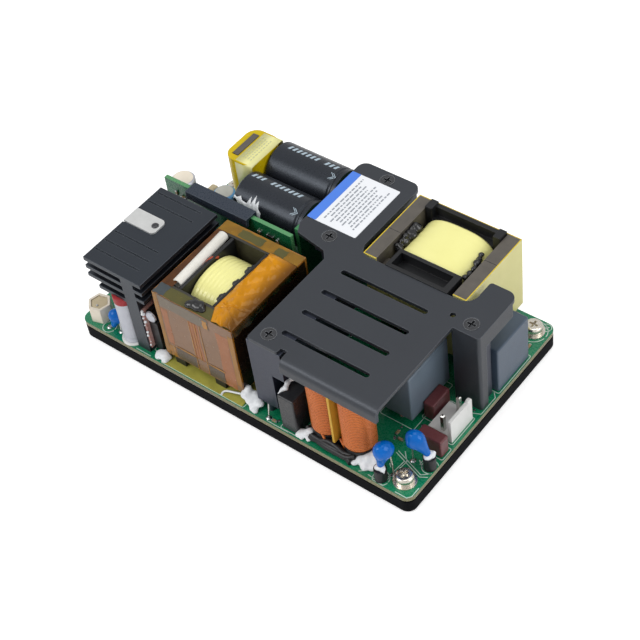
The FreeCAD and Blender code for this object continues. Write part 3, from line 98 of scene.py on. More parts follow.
# %% A base for every finish
def surface(name, light, dark, patch=12.0, rough=0.5, grain=0.4, depth=0.02, edge=0.25, **shader):
    """A material between two tones. patch, grain, depth and edge are in millimetres."""
    material = bpy.data.materials.new(name)
    material.use_nodes = True
    tree = material.node_tree
    tree.nodes.clear()
    place = add(tree, "ShaderNodeTexCoord").outputs["Object"]
    patches = add(tree, "ShaderNodeTexNoise", {"Vector": place, "Scale": 1000 / patch, "Detail": 3.0})
    tone = add(tree, "ShaderNodeMix", {0: patches.outputs["Fac"], 6: linear(dark), 7: linear(light)},
               data_type="RGBA", label="tone")
    grains = add(tree, "ShaderNodeTexNoise", {"Vector": place, "Scale": 1000 / grain, "Detail": 2.0},
                 label="grain")
    shine = add(tree, "ShaderNodeMapRange", {"Value": grains.outputs["Fac"], "From Min": 0.3, "From Max": 0.7,
                                             "To Min": rough - 0.06, "To Max": rough + 0.06}, label="shine")
    soft_edge = add(tree, "ShaderNodeBevel", {"Radius": edge * MM}, samples=4)
    bump = add(tree, "ShaderNodeBump", {"Height": grains.outputs["Fac"], "Distance": depth * MM,
                                        "Strength": 1.0, "Normal": soft_edge.outputs["Normal"]}, label="bump")
    principled = add(tree, "ShaderNodeBsdfPrincipled", {
        "Base Color": tone.outputs[2], "Roughness": shine.outputs["Result"],
        "Normal": bump.outputs["Normal"]}, label="shader")
    for socket, value in shader.items():
        principled.inputs[socket.replace("_", " ")].default_value = value
    add(tree, "ShaderNodeOutputMaterial", {"Surface": principled.outputs["BSDF"]})
    return material


def part_of(material, label):
    """The node of a material that carries this label."""
    return next(n for n in material.node_tree.nodes if n.label == label)


def edge_wear_and_sheen(material, bare, amount=0.5, width=0.35):
    """Lightens edges where the rounded normal leaves the flat one: rubbed material and painted highlight."""
    tree = material.node_tree
    wide = add(tree, "ShaderNodeBevel", {"Radius": width * MM}, samples=4)
    flat = add(tree, "ShaderNodeNewGeometry")
    turn = add(tree, "ShaderNodeVectorMath", {0: wide.outputs["Normal"], 1: flat.outputs["Normal"]},
               operation="DOT_PRODUCT")
    edge_rub_and_sheen = add(tree, "ShaderNodeMapRange", {"Value": turn.outputs["Value"], "From Min": 0.99, "From Max": 0.8,
                                           "To Min": 0.0, "To Max": amount})
    worn_and_lit = add(tree, "ShaderNodeMix", {0: edge_rub_and_sheen.outputs["Result"], 6: part_of(material, "tone").outputs[2],
                                       7: linear(bare)}, data_type="RGBA", label="worn_and_lit")
    tree.links.new(worn_and_lit.outputs[2], part_of(material, "shader").inputs["Base Color"])
    return material


# %% [markdown]
# ## Metal
# The cover and the base are aluminium sheet, bent and then anodised black. The dye sits in a thin
# clear oxide, so the metal looks like satin black glass: not metallic in Blender's sense, with a
# fine blasted grain. Bent edges are a little grey: partly rubbed metal, partly a painted highlight
# along the edge. The extruded bars and the heat sink are the same alloy, pressed through a die and
# a touch bluer in colour, and the blue cast of their reflections is painted.

# %% Anodised aluminium
# The blue Specular_Tint of these finishes is a painted blue cast on their reflections.
anodised_sheet = edge_wear_and_sheen(surface("anodised_aluminium_sheet", "26292e", "1f2126", patch=18, rough=0.42,
                              grain=0.22, depth=0.012, edge=0.3, IOR=1.6, Specular_Tint=(0.86, 0.91, 1, 1)),
                      "70757c", amount=0.45)
anodised_base = surface("anodised_aluminium_base", "0b0c11", "07080b", patch=15, rough=0.5, grain=0.25,
                        depth=0.01, Specular_IOR_Level=0.03)
anodised_bar = edge_wear_and_sheen(surface("anodised_aluminium_bar", "262a36", "1c1f29", patch=14, rough=0.38, grain=0.3,
                            depth=0.01, IOR=1.6, Specular_Tint=(0.74, 0.8, 1, 1)), "7d8490", amount=0.4)
anodised_sink = edge_wear_and_sheen(surface("anodised_aluminium_heat_sink", "191c22", "121419", patch=12, rough=0.36,
                             grain=0.3, depth=0.008, IOR=1.6, Specular_Tint=(0.74, 0.85, 1, 1)),
                     "6b7076", amount=0.5)
anodised_channel = edge_wear_and_sheen(surface("anodised_aluminium_channel", "252c38", "1c222c", patch=8, rough=0.3,
                                grain=0.3, depth=0.008, IOR=1.6, Specular_Tint=(0.74, 0.85, 1, 1)),
                        "8b949c", amount=0.3)
print("anodised finishes: 5")

# %% [markdown]
# Small hardware: the corner screws are steel with a bright zinc plating, a true metal with a
# slightly warm tone. The four screws of the cover are blackened steel, dull with oil. The clip on
# the heat sink is bare spring steel, brushed by its stamping.

# %% Screws, pins and clips
zinc_plate = surface("zinc_plated_steel", "f1ece2", "c9c1b3", patch=1.5, rough=0.24, grain=0.3, depth=0.01,
                     edge=0.12, Metallic=1.0)
# The light edges of the blackened screws are partly rubbed steel and partly a painted highlight.
black_oxide = edge_wear_and_sheen(surface("blackened_steel", "2a2c31", "1b1c20", patch=1.2, rough=0.34, grain=0.25,
                           depth=0.015, edge=0.12, IOR=1.6), "a9adb2", amount=0.7, width=0.18)
spring_steel = surface("stamped_spring_steel", "e0e1e0", "c9cac9", patch=2.5, rough=0.36, grain=0.2,
                       depth=0.006, edge=0.12, Metallic=0.5)
tinned_brass = surface("tinned_brass", "dcdcd8", "b9b9b3", patch=0.8, rough=0.22, grain=0.2, depth=0.006,
                       edge=0.15, Metallic=1.0)
can_aluminium = surface("drawn_aluminium_can", "c9cbd2", "b2b5bf", patch=4, rough=0.36, grain=0.3,
                        depth=0.004, Metallic=0.35)
print("hardware finishes: 5")

# %% [markdown]
# ## Plastics, film and ferrite
# Moulded cases are ABS or polyester: a soft satin with rounded edges. Ferrite is a pressed and
# fired ceramic, grey-brown and grainy. The tapes are thin film with glue beneath, which gives
# them a glossy skin over a slightly uneven colour; the amber one is the glossiest, under a coat.

# %% Moulded, pressed and taped finishes
black_moulding = surface("moulded_black_polyester", "1b1c1f", "111214", patch=6, rough=0.36, grain=0.25,
                         depth=0.008, Specular_IOR_Level=0.4)
relay_case = surface("moulded_relay_case", "2b2d31", "1d1e20", patch=5, rough=0.3, grain=0.2, depth=0.004)
nylon_warm = surface("moulded_aged_nylon", "f0e8d9", "dfd3bf", patch=4, rough=0.45, grain=0.3, depth=0.006)
nylon = surface("moulded_natural_nylon", "e6e6e4", "d3d3d1", patch=5, rough=0.42, grain=0.3, depth=0.006)
capacitor_box = surface("moulded_capacitor_case_slate", "4b5a6c", "3e4b5b", patch=7, rough=0.34, grain=0.25,
                        depth=0.006)
# The middle X capacitor has the same slate case, lightened: painted light on a face that the cover shades.
capacitor_box_painted_light = surface("moulded_capacitor_case_painted_light", "6c7a88", "5a6672", patch=7, rough=0.34,
                             grain=0.25, depth=0.006)
fuse_case = surface("moulded_fuse_case_maroon", "6b3639", "522a2d", patch=4, rough=0.33, grain=0.2,
                    depth=0.006)
film_box = surface("moulded_film_capacitor_beige", "cbbd9d", "b5a583", patch=3, rough=0.4, grain=0.2,
                   depth=0.006)
# The lighter edges of the ferrite are partly worn ceramic and partly a painted highlight.
ferrite = edge_wear_and_sheen(surface("pressed_ferrite", "5e5850", "423e38", patch=3, rough=0.5, grain=0.35, depth=0.03,
                       IOR=1.6), "8a8377", amount=0.3)
ferrite_dark = surface("pressed_ferrite_varnished", "35332b", "25231d", patch=3, rough=0.4, grain=0.35,
                       depth=0.02)
ferrite_black = surface("pressed_ferrite_black", "17181d", "0e0f12", patch=2, rough=0.4, grain=0.3,
                        depth=0.02, Specular_IOR_Level=0.3)
fish_paper = surface("pressed_fibre_board", "d9ae38", "bb9127", patch=2.5, rough=0.55, grain=0.18, depth=0.02)
aramid_sheet = surface("fibrous_insulating_sheet", "bdb851", "8f8a38", patch=3.2, rough=0.5, grain=0.3,
                       depth=0.03)
sleeve_white = surface("extruded_silicone_sleeve", "efede6", "d9d6cc", patch=3, rough=0.45, grain=0.25,
                       depth=0.01)
sleeve_black = surface("shrink_film_black", "202329", "16181d", patch=10, rough=0.3, grain=0.6, depth=0.006,
                       Specular_Tint=(0.8, 0.88, 1, 1))
sleeve_blue = surface("shrink_film_blue", "7ab8ea", "5f9fd4", patch=5, rough=0.25, grain=0.4, depth=0.006,
                      Coat_Weight=0.4)
epoxy_blue = surface("dipped_epoxy_blue", "026ccc", "0256a8", patch=3.5, rough=0.1, grain=0.5, depth=0.008,
                     Specular_IOR_Level=0.35, Specular_Tint=(0.6, 0.8, 1, 1))
white_film = surface("white_thermal_film", "cfcfc8", "a5a59c", patch=5, rough=0.5, grain=0.3, depth=0.01)
speckled_pad = surface("glass_silicone_pad", "c7bdb6", "a8372c", patch=0.9, rough=0.5, grain=0.25, depth=0.02)
board_green = surface("solder_mask_green", "118a5e", "096a48", patch=9, rough=0.28, grain=0.5, depth=0.006,
                      Coat_Weight=0.3, Coat_Roughness=0.12)
board_upright = surface("solder_mask_green_upright", "0e6a43", "085032", patch=6, rough=0.28, grain=0.5,
                        depth=0.006, Coat_Weight=0.3, Coat_Roughness=0.12)
board_carrier = surface("solder_mask_green_carrier", "0e6a43", "085032", patch=6, rough=0.3, grain=0.5,
                        depth=0.006)
tape_pale = dict(patch=9, rough=0.2, grain=2.5, depth=0.006, Specular_IOR_Level=0.5)
tape_yellow = surface("polyester_tape_yellow", "f0edac", "e4e096", **tape_pale)
tape_side = surface("polyester_tape_on_ferrite", "dad48f", "cbc57c", **tape_pale)
tape_wound = surface("polyester_tape_wound", "f6f2a4", "ece793", **tape_pale)
tape_mustard = surface("polyester_tape_mustard", "dcc00a", "b99f0c", patch=5, rough=0.24, grain=1.2,
                       depth=0.03, Specular_IOR_Level=0.25)
tape_amber = surface("polyimide_tape_amber", "b8751c", "8a5a22", patch=5, rough=0.22, grain=1.6, depth=0.04,
                     Coat_Weight=0.5, Coat_Roughness=0.08)
copper = surface("enamelled_copper_wire", "d87a38", "bd6128", patch=6, rough=0.3, grain=0.6, depth=0.002,
                 edge=0.05, Metallic=0.3)
glossy_resin = surface("cured_black_resin", "151618", "0c0d0e", patch=2, rough=0.16, grain=0.6, depth=0.02,
                       Specular_IOR_Level=0.6)
hot_glue = surface("white_silicone_glue", "f2f4f6", "d5d9de", patch=2, rough=0.35, grain=0.8, depth=0.04)
print("other finishes made:", len(bpy.data.materials))

# %% [markdown]
# Some surfaces show another stuff where they are cut. A board is green only where the solder
# mask lies; its sawn edge is bare laminate, tan and a little glassy. A tape ring is bright at its
# cut rim, where the light runs along inside the film. One function paints by the way a face looks.
# On the copper coils it paints shade into the grooves between the turns, where the wire faces up
# and down.

# %% Cut edges and painted crease shade
def cut_edge_and_crease_shade(material, axis, core, on_face=True):
    """Another colour where the surface looks along an axis, or where it does not."""
    tree = material.node_tree
    facing = add(tree, "ShaderNodeSeparateXYZ", {0: add(tree, "ShaderNodeNewGeometry").outputs["Normal"]})
    along = add(tree, "ShaderNodeMath", {0: facing.outputs[axis]}, operation="ABSOLUTE")
    side = add(tree, "ShaderNodeMath", {0: along.outputs[0], 1: 0.6},
               operation="LESS_THAN" if on_face else "GREATER_THAN")
    mixed = add(tree, "ShaderNodeMix", {0: side.outputs[0], 6: part_of(material, "tone").outputs[2],
                                        7: linear(core)}, data_type="RGBA", label="cut edge")
    tree.links.new(mixed.outputs[2], part_of(material, "shader").inputs["Base Color"])


cut_edge_and_crease_shade(board_green, "Z", "6f6b3f")
cut_edge_and_crease_shade(board_upright, "Y", "4f8f5c")
cut_edge_and_crease_shade(board_carrier, "X", "3f8a55")
cut_edge_and_crease_shade(tape_side, "Z", "e0c21a", on_face=False)
# Painted shade: the copper is darker where the wire faces up or down, in the grooves between turns.
cut_edge_and_crease_shade(copper, "Z", "9c4f24", on_face=False)
print("cut edges painted")

# %% [markdown]
# Now each CAD solid gets its finish. The dictionary reads as a parts list: finish on the left,
# the solids made of it on the right. A CAD solid keeps its shape; only its material slot changes.

# %% Finishes onto the CAD solids
finishes = {
    anodised_sheet: ("cover_plate",),
    anodised_base: ("base_plate",),
    anodised_bar: ("front_bar", "rear_bar", "side_post"),
    anodised_sink: ("heat_sink",),
    anodised_channel: ("edge_channel",),
    zinc_plate: ("corner_screw_front_right", "corner_screw_back_right", "corner_screw_back_left"),
    black_oxide: ("cover_screw_front", "cover_screw_middle", "cover_screw_rear", "cover_screw_side"),
    spring_steel: ("spring_clip",),
    tinned_brass: ("input_pin_front", "input_pin_back"),
    can_aluminium: ("output_capacitor_front", "output_capacitor_back", "filter_capacitor"),
    black_moulding: ("choke_base", "power_transistor", "transformer_bobbin", "boost_bobbin"),
    relay_case: ("relay",),
    nylon: ("input_header",),
    nylon_warm: ("corner_cup",),
    capacitor_box: ("x_capacitor_side",),
    capacitor_box_painted_light: ("x_capacitor_middle",),
    fuse_case: ("fuse_front", "fuse_side"),
    film_box: ("film_capacitor",),
    ferrite: ("boost_core", "inductor_core", "choke_core"),
    ferrite_dark: ("transformer_core",),
    ferrite_black: ("ferrite_bead_front", "ferrite_bead_side"),
    fish_paper: ("choke_divider",),
    aramid_sheet: ("transformer_sheet",),
    sleeve_white: ("lead_sleeve",),
    sleeve_black: ("bulk_capacitor_back", "bulk_capacitor_front"),
    sleeve_blue: ("small_capacitor",),
    epoxy_blue: ("disc_capacitor_front", "disc_capacitor_side", "disc_capacitor_output"),
    white_film: ("thermal_film",),
    speckled_pad: ("insulating_strip",),
    board_green: ("circuit_board",),
    board_upright: ("control_board",),
    board_carrier: ("carrier_board",),
    tape_side: ("boost_tape",),
    tape_wound: ("transformer_winding", "boost_winding"),
    tape_mustard: ("inductor_winding",),
    tape_amber: ("transformer_tape", "tape_wrap"),
    copper: ("choke_coil_left", "choke_coil_right"),
}
for material, names in finishes.items():
    for name in names:
        nodes[name].material_slots[0].material = material
dressed = [name for names in finishes.values() for name in names]
print("dressed:", len(dressed), "left bare:", sorted(set(nodes) - set(dressed)))

# %% [markdown]
# ## Pieces that Blender adds
# Each piece is a mesh or a curve of its own. One function gives it its finish and lets it ride on
# the CAD model's one body, so nothing is left loose.

# %% One function for pieces
def piece(name, mesh, material, smooth=35, replaces=None):
    """Shows a mesh or a curve as a named piece of the object. smooth is the angle of a hard edge."""
    if isinstance(mesh, bmesh.types.BMesh):
        form, mesh = mesh, bpy.data.meshes.new(name)
        bmesh.ops.recalc_face_normals(form, faces=form.faces)
        form.to_mesh(mesh)
        form.free()
    made = bpy.data.objects.new(name, mesh)
    bpy.context.scene.collection.objects.link(made)
    made.data.materials.append(material)
    if made.type == "MESH":
        for face in mesh.polygons:
            face.use_smooth = True
        mesh.set_sharp_from_angle(angle=math.radians(smooth))
    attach(made, "root")
    if replaces:
        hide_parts(replaces)
    return made


# %% [markdown]
# Three small builders serve most pieces: a flat plate cut to an outline, a turned shape from a
# profile, and a tube along a path. A turned shape is what a lathe or a rubber mould makes; a tube
# stands for wires and leads, and a curve object with a bevel gives it. Skin joins rows of points.

# %% Plates, turned shapes and tubes
def skin(form, rows, around=False, caps=False):
    """Joins rows of vertices with faces. Rows that go around are rings, and caps close both ends."""
    for a, b in zip(rows, rows[1:]):
        for i in range(len(a) if around else len(a) - 1):
            j = (i + 1) % len(a)
            form.faces.new((a[i], a[j], b[j], b[i]))
    if caps:
        form.faces.new(list(reversed(rows[0])))
        form.faces.new(rows[-1])


def plate(form, outline, low, high, rim=0.0):
    """Adds a flat plate with this outline in X and Y between two heights, its top rim rounded."""
    base = [form.verts.new((x * MM, y * MM, low * MM)) for x, y in outline]
    face = form.faces.new(base)
    top = bmesh.ops.extrude_face_region(form, geom=[face])["geom"]
    risen = [v for v in top if isinstance(v, bmesh.types.BMVert)]
    bmesh.ops.translate(form, verts=risen, vec=(0, 0, (high - low) * MM))
    if rim:
        edges = [e for e in form.edges if e.verts[0] in risen and e.verts[1] in risen]
        bmesh.ops.bevel(form, geom=edges, offset=rim * MM, segments=2, affect="EDGES")


def rounded(x0, y0, x1, y1, radius, steps=5):
    """The outline of a rectangle with round corners."""
    centres = ((x1 - radius, y1 - radius), (x0 + radius, y1 - radius),
               (x0 + radius, y0 + radius), (x1 - radius, y0 + radius))
    outline = []
    for quarter, (cx, cy) in enumerate(centres):
        for step in range(steps + 1):
            a = math.pi / 2 * (quarter + step / steps)
            outline.append((cx + radius * math.cos(a), cy + radius * math.sin(a)))
    return outline


def turn(form, profile, centre, axis=(0, 0, 1), steps=32):
    """Adds a turned shape. The profile gives (radius, height) along the axis from the centre."""
    lay = Vector((0, 0, 1)).rotation_difference(Vector(axis)).to_matrix()
    rings = []
    for radius, height in profile:
        ring = []
        for step in range(steps):
            a = 2 * math.pi * step / steps
            point = lay @ Vector((radius * math.cos(a), radius * math.sin(a), height))
            ring.append(form.verts.new((Vector(centre) + point) * MM))
        rings.append(ring)
    skin(form, rings, around=True, caps=True)


def turned(name, material, slot, profile, centre, replaces=None, **lathe):
    """A piece that is one turned shape."""
    form = bmesh.new()
    turn(form, profile, centre, **lathe)
    piece(name, form, material, replaces=replaces)


def tube(name, points, radius, material, sides=3):
    """A round wire along a smooth line through a few points."""
    line = bpy.data.curves.new(name, "CURVE")
    line.dimensions = "3D"
    line.bevel_depth = radius * MM
    line.bevel_resolution = sides
    line.resolution_u = 8
    line.use_fill_caps = True
    spline = line.splines.new("NURBS")
    spline.points.add(len(points) - 1)
    for point, place in zip(spline.points, points):
        point.co = (*(c * MM for c in place), 1.0)
    spline.order_u = 3
    spline.use_endpoint_u = True
    piece(name, line, material)


print("builders ready")

# %% [markdown]
# ## The choke's two windings
# Each coil is one enamelled copper wire of about 0.75 mm, wound turn on turn on a former. A bump
# map of lines would do from far away, but the rim of the coil shows every turn, so the wire is
# built: one cross section swept along a helix. The section is flattened to six tenths of its
# width, which keeps the grooves shallow, and a sleeve behind the turns closes the gaps.

# %% Copper windings
def corners(node):
    """The lowest corner, the highest corner and the middle of a CAD solid, in millimetres."""
    low, high = [[c / MM for c in corner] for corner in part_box(node)]
    return low, high, [(a + b) / 2 for a, b in zip(low, high)]


def winding(centre, low, high, outer, wire, steps=56, sides=8):
    """A helix of wire, flattened a little, whose outside has this radius."""
    x, y = centre
    turns = int((high - low) / (wire * 1.01))
    pitch = (high - low - wire) / turns
    form = bmesh.new()
    rings = []
    for step in range(turns * steps + 1):
        a = 2 * math.pi * step / steps
        height = low + wire / 2 + pitch * step / steps
        ring = []
        for side in range(sides):
            b = 2 * math.pi * side / sides
            r = outer - wire * 0.3 * (1 - math.cos(b))
            ring.append(form.verts.new(((x + r * math.cos(a)) * MM, (y + r * math.sin(a)) * MM,
                                        (height + wire / 2 * math.sin(b)) * MM)))
        rings.append(ring)
    skin(form, rings, around=True)
    turn(form, [(outer - wire * 1.6, low), (outer - wire * 0.55, low), (outer - wire * 0.55, high),
                (outer - wire * 1.6, high)], (x, y, 0))
    return form, turns


for side, right, front in (("left", 1.6, 4.5), ("right", -3.2, 3.6)):
    coil = "choke_coil_" + side
    low, high, middle = corners(coil)
    form, turns = winding(middle[:2], low[2], high[2], (high[0] - low[0]) / 2, 0.76)
    piece("copper_winding_" + side, form, copper, smooth=60, replaces=coil)
    x, y, foot = middle[0] + right, middle[1] - front, low[2]
    tube("winding_end_" + side, [(x - 1.2, y + 0.2, foot + 1.0), (x, y - 0.3, foot + 0.2),
                                 (x + 0.3, y - 0.2, foot - 1.2), (x + 0.2, y + 0.4, foot - 3.6)], 0.42,
         copper)
print("turns on each coil:", turns)

# %% [markdown]
# The two yellow windings are wound so full that the coil is no longer round: it fills its window and
# has soft corners. A superellipse gives that outline, swept along the axis of the coil, and a
# shallow wave of the radius shows each turn of wire under the last lap of tape.

# %% Wound coils under tape
def wound(part, middle, reach, power, run, along, pitch, wave, steps=128):
    """A full coil round an axis. run is its start and end, along is "X" or "Y"."""
    form = bmesh.new()
    slices = int((run[1] - run[0]) / 0.16)
    rings = []
    for i in range(slices + 1):
        place = run[0] + (run[1] - run[0]) * i / slices
        swell = wave * math.sin(2 * math.pi * place / pitch)
        swell -= 0.5 * max(0.0, abs(2 * i / slices - 1) - 0.92) / 0.08
        ring = []
        for step in range(steps):
            a = 2 * math.pi * step / steps
            c, d = math.cos(a), math.sin(a)
            r = (reach + swell) / (abs(c) ** power + abs(d) ** power) ** (1 / power)
            side, up = middle[0] + r * c, middle[1] + r * d
            point = (place, side, up) if along == "X" else (side, place, up)
            ring.append(form.verts.new(Vector(point) * MM))
        rings.append(ring)
    skin(form, rings, around=True, caps=True)
    piece("wound_coil_" + part, form, tape_wound, smooth=60, replaces=part + "_winding")


wound("transformer", (-17.7, 23.6), 12.4, 2.3, (-21.4, -9.7), "X", 1.45, 0.06)
wound("boost", (33.5, 24.6), 13.2, 3.0, (16.5, 33.6), "Y", 2.4, 0.02)
print("wound coils: 2")

# %% [markdown]
# The ends of the wire run on under the coils in black sleeves, stiff with varnish. Three tubes
# that cross each other at slightly different heights read as that bundle.

# %% Sleeved wire ends
sleeved = {
    "sleeved_end_a": [(25.0, -34.0, 9.6), (26.4, -35.4, 8.6), (30.0, -35.5, 8.6), (34.0, -36.0, 8.8),
                      (38.6, -35.6, 8.6), (41.6, -35.2, 8.7)],
    "sleeved_end_b": [(26.0, -33.0, 9.2), (28.6, -35.6, 8.1), (33.2, -36.4, 8.4), (36.8, -36.2, 8.3),
                      (41.0, -36.4, 8.3), (42.6, -35.0, 8.9)],
    "sleeved_end_c": [(24.8, -35.6, 8.0), (29.4, -36.0, 8.0), (32.4, -35.0, 9.4), (36.6, -35.2, 9.3),
                      (40.4, -36.0, 8.1), (42.4, -36.8, 8.0)],
}
for name, points in sleeved.items():
    tube(name, points, 1.05, black_moulding, sides=4)
print("sleeved ends:", len(sleeved))

# %% [markdown]
# ## Glue
# White silicone fixes the tall parts against shock. It leaves the nozzle as overlapping blobs and
# sets with a soft, uneven skin. Blender's voxel remesh does the same: a few rough balls are set
# down, the remesh melts them into one skin, and a smoothing and a noise displacement finish it.

# %% Melted blobs
def blob(name, balls, material, voxel=0.35, lumps=0.25, seed=1):
    """One skin over balls given as (x, y, z, radius), flattened a little and uneven."""
    chance = random.Random(seed)
    form = bmesh.new()
    for x, y, z, radius in balls:
        new = bmesh.ops.create_icosphere(form, subdivisions=3, radius=radius * MM)["verts"]
        bmesh.ops.scale(form, verts=new, vec=[chance.uniform(0.85, 1.2), chance.uniform(0.85, 1.2), 0.8])
        bmesh.ops.rotate(form, verts=new, cent=(0, 0, 0),
                         matrix=Matrix.Rotation(chance.uniform(0, 3), 3, "Z"))
        bmesh.ops.translate(form, verts=new, vec=(x * MM, y * MM, z * MM))
    mesh = bpy.data.meshes.new(name)
    form.to_mesh(mesh)
    form.free()
    lump = piece(name, mesh, material, smooth=80)
    melt = lump.modifiers.new("melt", "REMESH")
    melt.mode = "VOXEL"
    melt.voxel_size = voxel * MM
    melt.use_smooth_shade = True
    lump.modifiers.new("even", "SMOOTH").iterations = 6
    rough = bpy.data.textures.new(name, "CLOUDS")
    rough.noise_scale = 1.6 * MM
    uneven = lump.modifiers.new("uneven", "DISPLACE")
    uneven.texture = rough
    uneven.strength = lumps * MM
    uneven.mid_level = 0.6


glue_spots = {
    "glue_coil_foot": [(44.6, -34.6, 8.6, 1.9), (46.4, -33.6, 9.4, 1.9), (47.4, -32.2, 9.8, 1.6),
                       (46.4, -35.6, 8.0, 1.6), (48.4, -34.8, 8.0, 1.6), (43.0, -36.0, 7.9, 1.1),
                       (50.0, -34.4, 8.6, 1.3), (48.8, -33.0, 9.2, 1.4), (41.6, -36.4, 7.6, 0.7)],
    "glue_relay_foot": [(24.2, -36.2, 8.1, 1.5), (25.6, -35.9, 8.7, 1.5), (26.4, -35.0, 9.4, 1.2),
                        (23.4, -37.0, 7.8, 1.0), (27.0, -36.6, 7.7, 0.9), (24.9, -37.2, 7.6, 0.8)],
    "glue_bar_foot": [(2.9, -34.7, 10.4, 1.9), (4.6, -35.2, 9.2, 2.0), (6.4, -36.2, 8.2, 1.6),
                      (4.9, -33.9, 10.2, 1.5), (7.9, -35.2, 9.6, 1.3), (7.4, -37.1, 7.6, 0.9),
                      (2.6, -33.8, 11.9, 1.1), (6.6, -34.4, 9.8, 1.2)],
    "glue_heat_sink_foot": [(-30.9, -35.9, 8.3, 1.7), (-29.4, -35.7, 8.7, 1.7), (-31.4, -36.8, 7.8, 1.2),
                            (-28.6, -36.6, 7.9, 1.2), (-27.9, -35.4, 8.3, 1.0)],
    "glue_relay_top": [(17.6, -34.4, 21.6, 0.9), (18.4, -33.6, 22.2, 1.0), (18.0, -32.2, 22.8, 1.1),
                       (18.6, -30.6, 23.4, 1.1), (18.9, -29.0, 23.6, 0.9), (17.4, -35.6, 21.2, 0.6)],
    "glue_bead_front": [(51.9, -36.1, 12.0, 1.2), (53.0, -35.9, 12.1, 1.2), (52.3, -35.3, 12.3, 1.0),
                        (53.6, -36.5, 11.5, 0.7)],
    "glue_bead_side": [(61.2, -25.6, 12.0, 1.2), (62.0, -24.9, 12.4, 1.2), (61.4, -24.7, 12.7, 1.1),
                       (62.4, -24.2, 13.2, 0.7)],
    "glue_strip": [(-34.4, -35.9, 25.6, 0.6), (-34.2, -36.0, 24.4, 0.8), (-34.5, -36.0, 22.6, 0.6),
                   (-34.2, -35.9, 21.0, 0.7), (-34.6, -36.0, 19.4, 0.5), (-34.3, -36.0, 16.4, 0.7),
                   (-34.5, -36.0, 14.8, 0.6), (-34.2, -35.9, 12.2, 0.5), (-34.4, -36.0, 10.6, 0.6)],
    "glue_channel_end": [(-46.4, 4.6, 37.6, 0.8), (-45.6, 5.6, 37.3, 0.6)],
}
for seed, (name, balls) in enumerate(sorted(glue_spots.items())):
    blob(name, balls, hot_glue, seed=seed)
tube("glue_string", [(-5.4, -37.7, 7.3), (-5.6, -36.6, 7.7), (-4.4, -35.9, 8.2), (-2.2, -35.4, 8.4),
                     (0.4, -34.9, 8.9), (2.6, -35.0, 9.8)], 0.34, hot_glue)
print("glue spots:", len(glue_spots))

# %% [markdown]
# On the front bulk capacitor the glue was brushed on, so it is no lump but a thin smear with
# points where the bristles ran out. It is a strip laid on the round sleeve: a few angles give
# its torn upper edge, and it is a quarter of a millimetre thick.

# %% Brushed smear
low, high, middle = corners("bulk_capacitor_front")
radius = (high[2] - low[2]) / 2
form = bmesh.new()
columns, steps = 110, 10
lines = []
upper = [(0, 42), (0.1, 39), (0.22, 45), (0.3, 37), (0.47, 35), (0.56, 54), (0.61, 36), (0.7, 61), (0.76, 40),
         (0.84, 52), (0.9, 33), (1, 26)]
for i in range(columns + 1):
    u = i / columns
    x = -35.0 + 11.0 * u
    (u0, a0), (u1, a1) = next((a, b) for a, b in zip(upper, upper[1:]) if a[0] <= u <= b[0])
    first = 33 - 24 * u + 2.5 * math.sin(23 * u)
    last = a0 + (a1 - a0) * (u - u0) / (u1 - u0)
    line = []
    for j in range(steps + 1):
        a = math.radians(first + (last - first) * j / steps)
        reach = radius + 0.04 + 0.2 * math.sin(math.pi * j / steps) * (0.7 + 0.3 * math.sin(37 * u))
        line.append(form.verts.new((x * MM, (middle[1] - reach * math.cos(a)) * MM,
                                    (middle[2] + reach * math.sin(a)) * MM)))
    lines.append(line)
skin(form, lines)
smear = piece("glue_smear", form, hot_glue, smooth=60)
smear.modifiers.new("film", "SOLIDIFY").thickness = 0.12 * MM
print("smear:", columns * steps, "faces")

# %% [markdown]
# ## Dipped disc capacitors
# These are ceramic discs dipped in blue epoxy. The resin runs down one lead before it sets, so
# the body is a drop, not a coin. It is lofted: rings of changing size along a bent path, each a
# flattened circle, then one subdivision to smooth it.

# %% Blue drops
def drop(name, path, radii, flat, material, replaces=None, steps=20):
    """A skin through rings along a path. flat is how thin it is across, from 0 to 1."""
    form = bmesh.new()
    points = [Vector(p) for p in path]
    across = None
    rings = []
    for i, (point, radius) in enumerate(zip(points, radii)):
        along = (points[min(i + 1, len(points) - 1)] - points[max(i - 1, 0)]).normalized()
        across = along.cross(Vector((0, 0, 1))).normalized() if abs(along.z) < 0.95 else across
        across = across or Vector((0, 1, 0))
        up = along.cross(across).normalized()
        share = min(1.0, flat + (1 - flat) * i / (len(points) - 1))
        ring = []
        for step in range(steps):
            a = 2 * math.pi * step / steps
            offset = up * math.cos(a) * radius + across * math.sin(a) * radius * share
            ring.append(form.verts.new((point + offset) * MM))
        rings.append(ring)
    skin(form, rings, around=True, caps=True)
    made = piece(name, form, material, smooth=80, replaces=replaces)
    made.modifiers.new("smooth skin", "SUBSURF").levels = 1


def bent(start, end, sag, count=9):
    """Points on a bow from start to end, with its middle lifted by sag."""
    points = []
    for i in range(count):
        t = i / (count - 1)
        point = Vector(start).lerp(Vector(end), t)
        point.z += sag * 4 * t * (1 - t)
        points.append(point)
    return points


